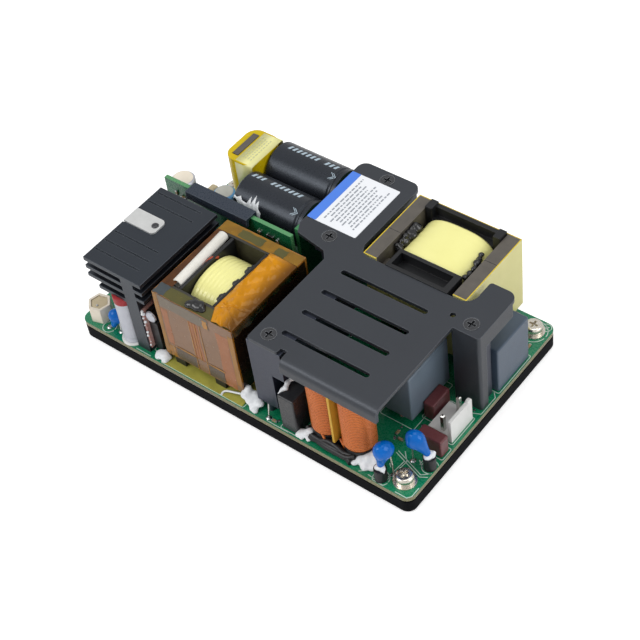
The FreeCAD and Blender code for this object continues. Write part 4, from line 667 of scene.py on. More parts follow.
profile = [0.9, 2.5, 3.2, 3.4, 3.2, 2.5, 1.7, 1.2, 1.0]
drop("epoxy_drop_front", bent((53.2, -33.2, 21.2), (52.3, -35.8, 12.4), 0.9), profile, 0.66, epoxy_blue,
     replaces="disc_capacitor_front")
drop("epoxy_drop_side", bent((55.0, -26.8, 18.9), (61.4, -25.3, 12.4), 1.7), profile, 0.66, epoxy_blue,
     replaces="disc_capacitor_side")
drop("epoxy_drop_output", bent((-49.2, -33.0, 14.8), (-51.6, -35.3, 7.8), 0.5),
     [0.9, 2.1, 2.7, 2.9, 2.7, 2.0, 1.4, 1.0, 0.7], 0.7, epoxy_blue,
     replaces="disc_capacitor_output")
lead_paths = {
    "drop_lead_front": [(54.2, -33.4, 17.0), (54.6, -33.2, 12.0), (54.5, -33.0, 7.1)],
    "drop_lead_side": [(56.4, -25.8, 15.0), (56.2, -26.0, 11.0), (56.2, -26.0, 7.1)],
    "bar_pin": [(12.1, -35.6, 12.8), (12.0, -36.0, 9.8), (11.9, -36.4, 7.1)],
    "bead_lead_front": [(52.3, -35.7, 13.4), (52.3, -36.0, 11.0), (52.3, -36.0, 7.1)],
    "bead_lead_side": [(61.4, -25.5, 13.4), (61.5, -25.3, 11.0), (61.5, -25.3, 7.1)],
    "drop_lead_output_left": [(-51.6, -35.2, 8.4), (-52.6, -35.4, 7.7), (-53.2, -35.6, 7.1)],
    "drop_lead_output_right": [(-49.6, -34.0, 10.0), (-48.8, -34.8, 8.2), (-48.6, -35.0, 7.1)],
}
for name, points in lead_paths.items():
    tube(name, points, 0.3, tinned_brass)
print("drops: 3, leads:", len(lead_paths))

# %% [markdown]
# ## The label
# A rating label is white vinyl, 0.1 mm thick, with a blue band and grey lines of small print.
# At this distance print is only rows of grey bars, so that is what is laid on it: short bars of
# random length, in rows, as a greeked page has. Each layer lies 0.03 mm over the last.

# %% Vinyl, ink and the label
vinyl = surface("printed_vinyl_white", "f1f3f7", "e8ebf0", patch=10, rough=0.35, grain=0.6, depth=0.004)
blue_ink = surface("printed_ink_blue", "4f86e8", "4378dc", patch=10, rough=0.35, grain=0.6, depth=0.002)
grey_ink = surface("printed_ink_grey", "8b9099", "a5aab2", patch=1.0, rough=0.5, grain=0.3, depth=0.001)
cover_top = corners("cover_plate")[1][2]
label_x0, label_x1, label_y0, label_y1, band = -8.05, 10.0, 12.7, 35.7, 3.3
form = bmesh.new()
plate(form, rounded(label_x0, label_y0, label_x1, label_y1, 0.5), cover_top + 0.02, cover_top + 0.12)
piece("label_vinyl", form, vinyl)
form = bmesh.new()
plate(form, rounded(label_x0, label_y0, label_x0 + band, label_y1, 0.4), cover_top + 0.05, cover_top + 0.15)
piece("label_band", form, blue_ink)
chance = random.Random(4)
form = bmesh.new()
rows = 0
for row in range(9):
    x = label_x0 + band + 1.5 + row * 1.3
    y = label_y0 + chance.uniform(1.5, 4.0)
    end = label_y1 - chance.uniform(1.0, 5.0)
    while y < end:
        word = chance.uniform(0.5, 2.2)
        plate(form, [(x, y), (x + 0.5, y), (x + 0.5, min(y + word, end)), (x, min(y + word, end))],
              cover_top + 0.1, cover_top + 0.14)
        y += word + 0.42
    rows += 1
piece("label_print", form, grey_ink)
print("rows of grey bars:", rows)

# %% [markdown]
# ## Print on the board
# White ink on the solder mask marks where the parts stand: an outline round each foot, a few
# slanted lines and rings. The lines are 0.15 mm wide on a real board and 0.25 mm here so that
# they show. Each is a flat ribbon just over the mask, mitred at its corners.

# %% White ink lines
ink_white = surface("printed_ink_white", "cfe0d6", "b5ccc0", patch=2, rough=0.5, grain=0.3, depth=0.002)
board_top = corners("circuit_board")[1][2]


def ribbon(form, points, width=0.25, height=0.03, closed=False):
    """Adds a line of ink along points in X and Y, on the board."""
    count = len(points)
    marks = [Vector(p) for p in points]
    rows = []
    for i, corner in enumerate(marks):
        before = marks[i - 1] if i or closed else corner
        after = marks[(i + 1) % count] if i + 1 < count or closed else corner
        into = (corner - before).normalized() if corner != before else (after - corner).normalized()
        out = (after - corner).normalized() if after != corner else into
        side = Vector((-(into + out).y, (into + out).x)).normalized()
        reach = width / 2 / max(0.35, side.dot(Vector((-into.y, into.x))))
        rows.append([form.verts.new((*((corner + side * reach * s) * MM), (board_top + height) * MM))
                     for s in (1, -1)])
    skin(form, rows + rows[:1] if closed else rows)


form = bmesh.new()
outlined = ("fuse_front", "fuse_side", "input_header", "x_capacitor_side", "x_capacitor_middle", "relay",
            "film_capacitor", "transformer_sheet", "power_transistor")
for name in outlined:
    low, high, middle = corners(name)
    x0, y0 = low[0] - 0.5, max(low[1] - 0.5, -37.7)
    x1, y1 = min(high[0] + 0.5, 63.1), high[1] + 0.5
    ribbon(form, rounded(x0, y0, x1, y1, 0.6, steps=3), closed=True)
for x, y, radius in ((61.0, 36.2, 1.5), (58.42, 33.02, 4.3), (-58.42, 33.02, 4.3), (52.3, -36.0, 2.5),
                     (61.5, -25.3, 2.4), (-55.8, 9.2, 4.5), (-42.3, 13.0, 4.0), (-53.2, -35.6, 2.2)):
    angles = [i * math.pi / 16 for i in range(32)]
    ring = [(x + radius * math.cos(a), y + radius * math.sin(a)) for a in angles]
    ribbon(form, [p for p in ring if abs(p[0]) < 63.2 and abs(p[1]) < 37.9])
for line in ([(48.4, -37.0), (53.4, -37.4), (54.3, -27.6)], [(53.9, -36.6), (55.0, -27.4), (52.4, -24.6)],
             [(50.7, -25.5), (60.9, -29.0), (63.1, -27.1)], [(50.5, -26.3), (61.0, -29.8), (63.1, -28.6)],
             [(57.6, -24.9), (59.9, -26.8)], [(58.5, -24.0), (58.6, -26.2)], [(51.2, -30.4), (52.3, -31.4)],
             [(58.2, -37.6), (62.2, -37.6), (63.1, -36.4), (63.1, -33.0)],
             [(61.6, 6.9), (63.0, 5.4), (63.0, -1.9)],
             [(53.0, -2.4), (60.6, -2.9), (63.0, -1.9)], [(-62.4, -18), (-58, -18), (-56, -14), (-56, -6)],
             [(-62.4, 24), (-52, 24), (-48, 28), (-48, 37)], [(12, -37.6), (20, -37.6)],
             [(-40, -37.6), (-34, -37.6)],
             [(60.4, 35.6), (61.6, 36.8)], [(60.4, 36.8), (61.6, 35.6)], [(45.5, -37.5), (48.3, -35.2)]):
    ribbon(form, line)
piece("board_print", form, ink_white, smooth=180)
print("outlines on the board:", len(outlined))

# %% [markdown]
# Through holes and solder: each lead ends in a small bright cone where it meets its pad. Solder
# wets the lead and pulls itself into a concave slope, so the cones are turned from a curve. Vias
# are drilled, plated and filled: flat dots of 0.84 mm, strewn over the free board with a seeded
# random.

# %% Solder cones and vias
solder = surface("tin_solder", "cfd0d0", "a3a6a8", patch=0.8, rough=0.25, grain=0.3, depth=0.01, edge=0.1,
                 Metallic=1.0)
form = bmesh.new()
feet = [(11.9, -36.4), (58.3, -13.8), (58.3, -5.9), (54.5, -33.0), (56.2, -26.0), (52.3, -36.0),
        (61.5, -25.3), (-53.2, -35.6), (-48.6, -35.0), (10.6, -33.2), (44.0, -14.2), (44.0, -2.8)]
for x, y in feet:
    turn(form, [(0.95, 0.0), (0.75, 0.1), (0.5, 0.3), (0.38, 0.75)], (x, y, board_top), steps=20)
vias = 0
taken = [corners(n) for n in nodes if n not in ("circuit_board", "base_plate", "cover_plate", "thermal_film")]
while vias < 90:
    x, y = chance.uniform(-62, 62), chance.uniform(-37, 37)
    if any(lo[0] - 0.8 < x < hi[0] + 0.8 and lo[1] - 0.8 < y < hi[1] + 0.8 and lo[2] < 9
           for lo, hi, _ in taken):
        continue
    turn(form, [(0.42, 0.0), (0.42, 0.03), (0.36, 0.04)], (x, y, board_top), steps=12)
    vias += 1
piece("solder_and_vias", form, solder)
print("solder cones:", len(feet), "vias:", vias)

# %% [markdown]
# Chips and resistors stand on the upright control board and at the free edges of the main board.
# Each is a dark or white ceramic body between two tinned end caps.

# %% Small surface parts
ceramic_dark = surface("fired_ceramic_dark", "1f2022", "151617", patch=1, rough=0.4, grain=0.2, depth=0.004)
ceramic_tan = surface("fired_ceramic_tan", "a08a68", "8c7654", patch=1, rough=0.45, grain=0.2, depth=0.004)


def brick(form, low, high, bevel=0.08):
    """Adds a box with softened edges, between two corners in millimetres."""
    made = bmesh.ops.create_cube(form, size=1.0)["verts"]
    middle = [(a + b) / 2 * MM for a, b in zip(low, high)]
    span = [(b - a) * MM for a, b in zip(low, high)]
    bmesh.ops.scale(form, verts=made, vec=span)
    bmesh.ops.translate(form, verts=made, vec=middle)
    edges = {e for v in made for e in v.link_edges}
    bmesh.ops.bevel(form, geom=list(edges), offset=bevel * MM, segments=2, affect="EDGES")


bodies, tans, caps = bmesh.new(), bmesh.new(), bmesh.new()
front_face, back_face = [corner[1] for corner in corners("control_board")[:2]]
upright_parts = [(-19.4, 33.8, 1.0, 0.8), (-15.1, 33.9, 2.2, 1.0), (-12.5, 32.9, 0.8, 1.4),
                 (-16.4, 24.4, 3.9, 3.2), (-50.2, 32.6, 1.6, 0.8), (-54.4, 29.4, 1.6, 0.8),
                 (-53.0, 33.4, 0.8, 1.6), (-51.6, 25.0, 4.9, 3.8), (-40, 21, 8.6, 3.8),
                 (-30.4, 13.4, 1.6, 0.8)]
for x, z, wide, tall in upright_parts:
    for sign, face in ((-1, front_face), (1, back_face)):
        y0, y1 = sorted((face, face + sign * 0.6))
        body = tans if wide + tall < 2.6 and sign < 0 else bodies
        brick(body, (x - wide / 2, y0, z - tall / 2), (x + wide / 2, y1, z + tall / 2))
        for end in (-1, 1):
            if wide > tall:
                cx = x + end * (wide / 2)
                brick(caps, (cx - 0.22, y0 - 0.02, z - tall / 2), (cx + 0.22, y1 + 0.02, z + tall / 2), 0.05)
            else:
                cz = z + end * (tall / 2)
                brick(caps, (x - wide / 2, y0 - 0.02, cz - 0.22), (x + wide / 2, y1 + 0.02, cz + 0.22), 0.05)
flat_parts = [(-60.2, -22, 0.8, 1.6), (-60.2, -12, 0.8, 1.6), (-60.6, 2, 0.8, 1.6), (-57.5, 18.5, 1.6, 0.8),
              (-60.0, 22.0, 0.8, 1.6), (-53, 31, 1.6, 0.8), (-20, 37.0, 1.6, 0.8), (8, 36.6, 1.6, 0.8),
              (49.0, -22.0, 1.6, 0.8), (46.8, -20.4, 0.8, 1.6), (54.5, 28.0, 1.6, 0.8),
              (60.6, 27.0, 0.8, 1.6), (14.2, -36.6, 1.6, 0.8), (-46.0, -1.0, 1.6, 0.8),
              (50.4, 36.2, 1.6, 0.8)]
for x, y, wide, deep in flat_parts:
    brick(tans, (x - wide / 2, y - deep / 2, board_top), (x + wide / 2, y + deep / 2, board_top + 0.6))
    for end in (-1, 1):
        dx, dy = (wide / 2, 0) if wide > deep else (0, deep / 2)
        half_x, half_y = (0.2 if dx else wide / 2), (0.2 if dy else deep / 2)
        brick(caps, (x + end * dx - half_x, y + end * dy - half_y, board_top),
              (x + end * dx + half_x, y + end * dy + half_y, board_top + 0.62), 0.05)
piece("chip_bodies", bodies, ceramic_dark)
piece("chip_bodies_tan", tans, ceramic_tan)
piece("chip_ends", caps, solder)
print("small parts:", len(upright_parts) * 2 + len(flat_parts))

# %% [markdown]
# ## Capacitor ends and marks
# A tall capacitor can has a bare aluminium end inside a rolled sleeve edge, scored with a star
# so that it can vent. The two bulk capacitors show theirs at the left. Their sleeves carry light
# chevrons that mark the negative side and a row of plain bars, here as bent strips that lie on
# the round sleeve.

# %% Ends, vents and chevrons
ink_pale = surface("printed_ink_pale", "b9c9d4", "9db0bd", patch=1.5, rough=0.4, grain=0.3, depth=0.002)
vented = surface("bare_aluminium_end", "c3c4c6", "a7a8ab", patch=3, rough=0.32, grain=0.2, depth=0.006,
                 Metallic=0.9)
score = surface("scored_aluminium", "6d6e70", "58595b", patch=2, rough=0.5, grain=0.2, depth=0.004,
                Metallic=0.7)


def vented_end(name, centre, axis, radius, grooves=3, metal=vented):
    """The round end of a can, slightly dished, with its score lines."""
    dish = [(radius, -0.1), (radius, 0.06), (radius - 0.2, 0.12), (radius - 0.5, 0.06), (0.3, 0.04)]
    turned(name, metal, "silver_can", dish, centre, axis=axis, steps=40)
    if not grooves:
        return
    form = bmesh.new()
    lay = Vector((0, 0, 1)).rotation_difference(Vector(axis)).to_matrix()
    for groove in range(grooves):
        a = math.pi * 2 * groove / grooves
        before = len(form.verts)
        brick(form, (0.0, -0.08, 0.05), (radius * 0.7, 0.08, 0.09), 0.02)
        form.verts.ensure_lookup_table()
        for vertex in form.verts[before:]:
            vertex.co = lay @ (Matrix.Rotation(a, 3, "Z") @ vertex.co) + Vector(centre) * MM
    piece(name + "_score", form, score)


def bent_strip(form, middle, radius, marks, width):
    """Adds a strip to a round sleeve that lies along X. Each mark is an angle and a place on X."""
    skin(form, [[form.verts.new(((x + wide) * MM, (middle[1] - radius * math.cos(a)) * MM,
                                 (middle[2] + radius * math.sin(a)) * MM)) for wide in (0, width)]
                for a, x in marks])


for side in ("front", "back"):
    low, high, middle = corners("bulk_capacitor_" + side)
    vented_end("bulk_end_" + side, (low[0], middle[1], middle[2]), (-1, 0, 0), 6.9)
    radius = (high[2] - low[2]) / 2 + 0.02
    form = bmesh.new()
    steep, start = (62, -13.4) if side == "front" else (76, -12.6)
    for reach in (1, -1):
        for inner in (0, 0.75):
            marks = [(math.radians(steep) + reach * 0.15 * t, start + 1.5 * (1 - t) - inner)
                     for t in (step / 8 for step in range(9))]
            bent_strip(form, middle, radius, marks, 0.3)
    piece("chevron_" + side, form, ink_pale, smooth=180)
    form = bmesh.new()
    steep, starts = (100, ((-33.8, 3), (-26.4, 7))) if side == "front" else (97, ((-32.0, 7), (-17.6, 3)))
    for start, count in starts:
        for bar in range(count):
            marks = [(math.radians(steep + step * 3.4), start + bar * 1.75 + step * 0.12)
                     for step in range(5)]
            bent_strip(form, middle, radius, marks, 0.95)
    piece("sleeve_bars_" + side, form, ink_pale, smooth=180)
for name, radius, grooves, metal in (("small_capacitor", 2.9, 0, white_film),
                                     ("filter_capacitor", 3.3, 0, nylon_warm),
                                     ("output_capacitor_back", 2.8, 3, vented)):
    low, high, middle = corners(name)
    vented_end("end_of_" + name, (middle[0], middle[1], high[2]), (0, 0, 1), radius, grooves, metal)
red_seal = surface("moulded_red_seal", "ab0f1c", "7d0712", patch=2, rough=0.4, grain=0.2, depth=0.006)
low, high, middle = corners("output_capacitor_front")
turned("output_capacitor_seal", red_seal, "silver_can",
       [(3.46, -2.2), (3.52, -0.9), (3.45, 0.2), (3.1, 0.45), (0.4, 0.5)],
       (middle[0], middle[1], high[2]), steps=40)
turned("output_capacitor_foot", nylon, "white_nylon",
       [(4.1, 0.0), (4.1, 0.3), (3.8, 0.6), (3.5, 0.65)], (middle[0], middle[1], board_top), steps=40)
print("capacitor ends done")

# %% [markdown]
# ## Small hardware
# The strap on the heat sink is held by a dark rivet with a domed head. The white cup over the
# corner hole is filled with beige compound, with one bright wire end in it. A round bushing sits
# on the power transistor, and the header has a latch lug at the back end of its wall.

# %% Rivet, cup fill and latch
turned("strap_rivet", black_oxide, "black_screw",
       [(1.15, 0.0), (1.15, 0.12), (0.98, 0.34), (0.62, 0.48), (0.2, 0.52)], (-44.2, -15.35, 38.9))
compound = surface("cast_compound_beige", "cdbf9f", "b9a988", patch=2, rough=0.6, grain=0.5, depth=0.05)
form = bmesh.new()
cup_x, cup_y, inner = -58.42, -33.02, 2.95
angles = [math.radians(14) + i * math.pi / 3 for i in range(6)]
plate(form, [(cup_x + inner * math.cos(a), cup_y + inner * math.sin(a)) for a in angles], 12.4, 12.95,
      rim=0.15)
piece("cup_compound", form, compound)
turned("cup_wire_end", solder, "tinned_pin",
       [(0.42, 0.0), (0.42, 0.3), (0.3, 0.5), (0.1, 0.56)], (-58.1, -34.4, 12.8), steps=20)
# The bushing is white nylon but takes the can's grey metal finish: painted shade, as it sits in shade.
turned("transistor_bushing", can_aluminium, "white_nylon",
       [(1.9, 0.0), (1.9, 0.7), (1.3, 1.1), (0.5, 1.2)], (-32.3, -34.5, 23.4), axis=(0, -1, 0))
form = bmesh.new()
side = [(-7.0, 13.6), (-4.62, 13.6), (-4.62, 16.0), (-5.1, 16.75), (-6.2, 16.75), (-7.0, 15.9)]
ends = [[form.verts.new((x * MM, y * MM, z * MM)) for y, z in side] for x in (60.86, 61.98)]
skin(form, ends, around=True, caps=True)
latch = piece("header_latch", form, nylon)
soft = latch.modifiers.new("soft edges", "BEVEL")
soft.width = 0.15 * MM
soft.segments = 2
print("small hardware done")

# %% [markdown]
# ## Tape on the transformer
# Amber polyimide tape is wound round the core, and a loose lap of it bulges over the winding on
# the right. The lap is a grid of points that rises to a fold line and falls to the core's edge.
# A few sines crumple it, and three narrow pleats cut across it. Its colour darkens towards its far
# edge: painted shade of the dark hollow beneath the film there.

# %% The loose lap of amber tape
def painted_shade_ramp(material, axis, start, end, far):
    """Blends a material into another tone between two places along an axis, in millimetres."""
    tree = material.node_tree
    place = add(tree, "ShaderNodeSeparateXYZ", {0: add(tree, "ShaderNodeTexCoord").outputs["Object"]})
    share = add(tree, "ShaderNodeMapRange", {"Value": place.outputs[axis], "From Min": start * MM,
                                             "From Max": end * MM}, interpolation_type="SMOOTHSTEP")
    mixed = add(tree, "ShaderNodeMix", {0: share.outputs[0], 6: part_of(material, "tone").outputs[2],
                                        7: linear(far)}, data_type="RGBA", label="painted_shade_ramp")
    tree.links.new(mixed.outputs[2], part_of(material, "shader").inputs["Base Color"])


amber_film = surface("polyimide_film_loose", "dc9200", "b07200", patch=3, rough=0.08, grain=2.2, depth=0.06,
                     Specular_IOR_Level=0.4, Specular_Tint=(1, 0.86, 0.6, 1))
# Painted shade: the lap darkens towards its right edge, over the dark hollow beneath it.
painted_shade_ramp(amber_film, "X", -4.2, 1.8, "5e3603")
rim = corners("transformer_tape")[1][2]
form = bmesh.new()
across, along = 60, 150
right_edge, front_edge, lap_length = 1.9, -34.9, 30.2
pleats = ((0.17, 0.12, 0.012, 0.5), (0.28, -0.2, 0.015, 0.4), (0.93, -0.1, 0.012, 0.35))
grid = []
for i in range(across + 1):
    u = i / across
    row = []
    for j in range(along + 1):
        v = j / along
        y = front_edge + lap_length * v
        start = -8.3 + 2.6 * max(0.0, 1 - v / 0.16)
        x = start + (right_edge - start) * u
        fold = -6.8 + 3.6 * max(0.0, min(1.0, (-20.8 - y) / 7.3)) + 3.4 * max(0.0, (-28.1 - y) / 6.8)
        peak = 1.5 * min(1.0, (v + 0.04) / 0.14) * min(1.0, (1.02 - v) / 0.08)
        if x < fold:
            lift = (x - start) / max(0.3, fold - start)
        else:
            lift = max(0.0, (right_edge - x) / (right_edge - fold)) ** 1.3
        crumple = 0.2 * math.sin(9 * u + 15 * v) + 0.3 * abs(math.sin(16 * v - 7 * u))
        crumple += 0.1 * math.sin(31 * v + 23 * u)
        for place, slant, width, deep in pleats:
            crumple -= deep * math.exp(-((v - place - slant * u) / width) ** 2)
        loose = min(1.0, 3 * lift) * min(1.0, 8 * (1 - v)) * (1.2 - 0.7 * v)
        z = rim + 0.15 + peak * lift + crumple * loose
        row.append(form.verts.new((x * MM, y * MM, z * MM)))
    grid.append(row)
edge = []
for j in range(along + 1):
    v = j / along
    hang = rim - 2.4 - 0.9 * math.sin(7 * v) - 0.4 * math.sin(31 * v)
    edge.append(form.verts.new((2.1 * MM, grid[across][j].co.y, hang * MM)))
grid.append(edge)
skin(form, grid)
lap = piece("tape_lap", form, amber_film, smooth=60, replaces="tape_wrap")
lap.modifiers.new("film", "SOLIDIFY").thickness = 0.08 * MM
print("lap of tape:", across * along, "faces")

# %% [markdown]
# The tape also covers the top of the core's bars and its front face. A film of amber over grey
# ferrite turns olive, over copper foil it turns brown, and where two laps cross it gets darker.
# Each patch is a thin leaf whose outline wanders by a tenth of a millimetre, as cut tape does.

# %% Film on the core
def film(name, tone, dark, patch=4.0, rough=0.22):
    """Thin glossy tape over something darker."""
    return surface(name, tone, dark, patch=patch, rough=rough, grain=1.3, depth=0.03, Specular_IOR_Level=0.3)


def leaf(form, low, high, flat, level, waver=0.1, steps=24):
    """Adds a thin patch between two corners on the plane where the axis flat has this level."""
    across, up = [axis for axis in range(3) if axis != flat]
    seed = low[0] * 3.1 + low[1] * 1.7
    grid = []
    for i in range(steps + 1):
        line = []
        for j in range(steps + 1):
            u, v = i / steps, j / steps
            point = [0.0, 0.0, 0.0]
            point[flat] = level
            point[across] = low[0] + (high[0] - low[0]) * u + waver * math.sin(9 * v + seed) * (1 - 2 * u)
            point[up] = low[1] + (high[1] - low[1]) * v + waver * math.sin(11 * u + seed) * (1 - 2 * v)
            line.append(form.verts.new(Vector(point) * MM))
        grid.append(line)
    skin(form, grid)


olive_film = film("polyimide_film_on_ferrite", "5f5728", "484a2c")
dark_film = film("polyimide_film_two_laps", "4b5256", "3b4144")
amber_laid = film("polyimide_film_laid", "a97a12", "4a3a1e", patch=5.2)
brown_laid = film("polyimide_film_dark_laid", "6e3d08", "1c130c", patch=3.2)
core_low, core_high, _ = corners("transformer_tape")
core_top = core_high[2]
top_leaves = {
    "film_front_bar": (olive_film, (-24.6, -34.9), (1.7, -30.9), 0.06),
    "film_corner": (dark_film, (-28.3, -34.9), (-24.4, -30.8), 0.09),
    "film_left_bar": (brown_laid, (-28.4, -30.7), (-24.4, -4.7), 0.05),
    "film_back_bar": (amber_laid, (-28.4, -4.7), (1.7, -0.6), 0.07),
    "film_back_patch_left": (olive_film, (-21.5, -4.2), (-12.4, -1.2), 0.1),
    "film_back_patch_right": (olive_film, (-7.6, -4.4), (-3.6, -1.5), 0.1),
}
for name, (material, low, high, lift) in top_leaves.items():
    form = bmesh.new()
    leaf(form, low, high, 2, core_top + lift)
    piece(name, form, material, smooth=60)

wide, tall = core_high[0] - core_low[0], core_high[2] - core_low[2]
front_leaves = {
    "film_front_face": (film("polyimide_film_front", "8c6b52", "77593f", patch=9), [(0.0, 0.0, 1.0, 1.0)]),
    "film_foil_brown": (film("polyimide_film_on_foil", "a3683f", "8c5632"),
                        [(0.07, 0.22, 0.15, 0.78), (0.43, 0.2, 0.54, 0.8), (0.78, 0.15, 0.93, 1.0)]),
    "film_gold_edge": (film("polyimide_film_gold", "a8752c", "80581e"),
                       [(0.0, 0.0, 0.055, 1.0), (0.055, 0.82, 0.14, 1.0), (0.94, 0.1, 1.0, 0.9)]),
    "film_top_band": (film("polyimide_film_grey", "75695a", "675b4a"), [(0.07, 0.01, 0.7, 0.18)]),
    "film_dark_square": (film("polyimide_film_umber", "5f5040", "4e4132"),
                         [(0.16, 0.81, 0.43, 0.98), (0.58, 0.81, 0.78, 0.98)]),
    "film_orange_line": (film("polyimide_film_orange", "b5803a", "a06c28"),
                         [(0.07, 0.785, 0.8, 0.8), (0.425, 0.2, 0.435, 1.0), (0.465, 0.2, 0.472, 0.8),
                          (0.5, 0.2, 0.508, 0.8), (0.565, 0.2, 0.575, 1.0), (0.63, 0.05, 0.69, 0.17)]),
}
for layer, (name, (material, patches)) in enumerate(front_leaves.items()):
    form = bmesh.new()
    for u0, v0, u1, v1 in patches:
        leaf(form, (core_low[0] + wide * u0, core_high[2] - tall * v1),
             (core_low[0] + wide * u1, core_high[2] - tall * v0), 1, core_low[1] - 0.04 - 0.03 * layer,
             waver=0.05 if u1 - u0 < 0.02 else 0.12)
    piece(name, form, material, smooth=60)
# The core's right face gets a near-black leaf of film: painted shade on a face turned away from the light.
form = bmesh.new()
leaf(form, (core_low[1] + 0.5, core_low[2] + 0.6), (core_high[1] - 0.8, core_high[2] - 0.6), 0,
     core_high[0] + 0.05)
piece("painted_shade_right_face", form, film("polyimide_film_painted_shade", "2a1a0c", "120d0a"))
print("leaves of film:", len(top_leaves) + len(front_leaves) + 1)

# %% [markdown]
# Varnish and resin hold the ends of the windings. They are glossy black beads that sit where a
# lead leaves its winding, and they flowed together before they set, so they are melted blobs too.
# The white sleeve has an open end, so it is turned again with its bore, and two hairlines of glue
# show where the halves of the boost choke's core meet.

# %% Resin beads, sleeve, seams and a red lead
resin_lumps = {
    "varnish_lug_front": [(-14.9, -33.2, 37.4, 1.6), (-13.6, -32.6, 37.5, 1.9), (-11.8, -32.2, 37.5, 1.8),
                          (-10.6, -32.9, 37.2, 1.1), (-12.8, -32.5, 37.4, 1.9)],
    "lump_flange_a": [(-9.8, -26.4, 36.4, 0.8), (-9.8, -25.3, 36.5, 1.0), (-9.7, -24.0, 36.3, 0.7)],
    "lump_flange_b": [(-9.7, -19.2, 36.4, 1.0), (-9.8, -18.0, 36.3, 0.8)],
    "lump_flange_c": [(-9.8, -13.6, 36.4, 0.9), (-9.8, -12.4, 36.5, 0.9), (-9.8, -11.0, 36.2, 0.7)],
    "lump_boost_left": [(21.2, 27.6, 37.0, 1.0), (20.9, 26.0, 36.8, 0.9), (21.0, 24.2, 36.6, 1.0),
                        (21.4, 22.2, 37.2, 1.0), (21.2, 20.4, 36.6, 0.9), (21.0, 18.4, 36.4, 0.9),
                        (21.7, 27.6, 36.0, 1.5), (21.6, 24.8, 35.6, 1.7), (21.6, 21.6, 35.4, 1.7),
                        (21.5, 18.6, 35.2, 1.5)],
    "lump_boost_right": [(43.8, 28.4, 36.0, 0.9), (44.2, 26.6, 35.6, 1.1), (44.6, 25.0, 36.0, 1.2),
                         (45.0, 22.8, 35.6, 1.1), (45.0, 20.6, 35.7, 1.1), (44.9, 18.4, 35.9, 1.1),
                         (45.4, 24.0, 34.2, 1.3), (45.6, 21.4, 34.0, 1.3), (45.4, 18.6, 34.2, 1.2)],
    "lump_choke_foot": [(24.8, -35.0, 8.0, 0.9), (26.2, -36.4, 7.8, 0.8), (38.0, -36.4, 8.0, 0.9),
                        (36.2, -36.8, 7.7, 0.6)],
}
for seed, (name, balls) in enumerate(sorted(resin_lumps.items())):
    blob(name, balls, glossy_resin, voxel=0.25, lumps=0.07, seed=seed + 20)
turned("sleeve_tube", sleeve_white, "white_sleeve",
       [(1.3, 5.0), (1.32, 0.0), (1.5, -0.08), (1.75, 0.05), (1.78, 0.4), (1.78, 22.6), (1.6, 22.9),
        (0.4, 22.9)], (-24.5, -28.3, 36.1), replaces="lead_sleeve", axis=(-0.052, 1, 0.004), steps=40)
form = bmesh.new()
for x0, x1, y in ((46.9, 51.2, 25.3), (15.8, 20.1, 21.6)):
    leaf(form, (x0, y), (x1, y + 0.16), 2, corners("boost_core")[1][2] + 0.02, waver=0.02)
piece("core_seams", form, glossy_resin)
red_wire = surface("insulated_wire_red", "b2401c", "8a2e12", patch=2, rough=0.35, grain=0.4, depth=0.01)
tube("winding_lead_red", [(-22.6, -18.2, 35.6), (-22.5, -16.8, 36.6), (-22.2, -14.6, 36.8),
                          (-21.6, -13.2, 35.8)], 0.55, red_wire)
print("beads of resin:", len(resin_lumps))

# %% [markdown]
# ## The inductor's band
# A pale yellow tape lies across the inductor's mustard wrap and folds down at both ends. It is
# one strip, bent over the edges, with faint grey bars for the print that such a band carries.

# %% Pale band
low, high, _ = corners("inductor_winding")
form = bmesh.new()
rise = high[2] + 0.06
run = [(low[1] - 0.06, rise - 13.0), (low[1] - 0.06, rise - 0.7), (low[1] + 0.15, rise - 0.15),
       (low[1] + 0.7, rise), (high[1] - 0.7, rise), (high[1] - 0.15, rise - 0.15),
       (high[1] + 0.06, rise - 0.7), (high[1] + 0.06, rise - 12.0)]
rows = [[form.verts.new((x * MM, y * MM, z * MM)) for x in (-42.9, -39.4, -35.9)] for y, z in run]
skin(form, rows)
band_piece = piece("inductor_band", form, tape_yellow, smooth=50)
band_piece.modifiers.new("film", "SOLIDIFY").thickness = 0.1 * MM
form = bmesh.new()
for row in range(4):
    y = low[1] + 2.5
    while y < high[1] - 3.0:
        word = chance.uniform(0.4, 1.1)
        x = -42.0 + row * 1.1
        plate(form, [(x, y), (x + 0.4, y), (x + 0.4, y + word), (x, y + word)], rise + 0.03, rise + 0.09)
        y += word + 0.5
faint_ink = surface("printed_ink_faint", "cfd0a2", "c2c394", patch=1, rough=0.5, grain=0.3, depth=0.001)
piece("inductor_print", form, faint_ink)
print("band laid")

# %% [markdown]
# ## Floor, light and camera
# The product stands on a white sweep. The floor is a plain white diffuse sheet. Its picture
# white comes from a little emission that camera and transmission rays see, and glossy rays
# faintly, so the shadow stays and the object gets no extra light from it.

# %% White floor
def flat_sheet(name, half, z):
    """A square sheet about the origin, bowed up slightly at its far edges like a paper sweep."""
    mesh = bpy.data.meshes.new(name)
    form = bmesh.new()
    bmesh.ops.create_grid(form, x_segments=8, y_segments=8, size=half)
    for vertex in form.verts:
        reach = max(abs(vertex.co.x), abs(vertex.co.y)) / half
        vertex.co.z = z + 0.2 * max(0.0, reach - 0.6) ** 2
    form.to_mesh(mesh)
    form.free()
    sheet = bpy.data.objects.new(name, mesh)
    bpy.context.scene.collection.objects.link(sheet)
    return sheet


def strength_by_ray(tree, direct, glossy, base):
    """A strength of base, to which camera and transmission rays add direct, and glossy rays glossy."""
    rays = add(tree, "ShaderNodeLightPath")
    seen = add(tree, "ShaderNodeMath", {0: rays.outputs["Is Camera Ray"],
                                        1: rays.outputs["Is Transmission Ray"]}, operation="MAXIMUM")
    soft = add(tree, "ShaderNodeMath", {0: rays.outputs["Is Glossy Ray"], 1: glossy, 2: base},
               operation="MULTIPLY_ADD")
    return add(tree, "ShaderNodeMath", {0: seen.outputs[0], 1: direct, 2: soft.outputs[0]},
               operation="MULTIPLY_ADD").outputs[0]


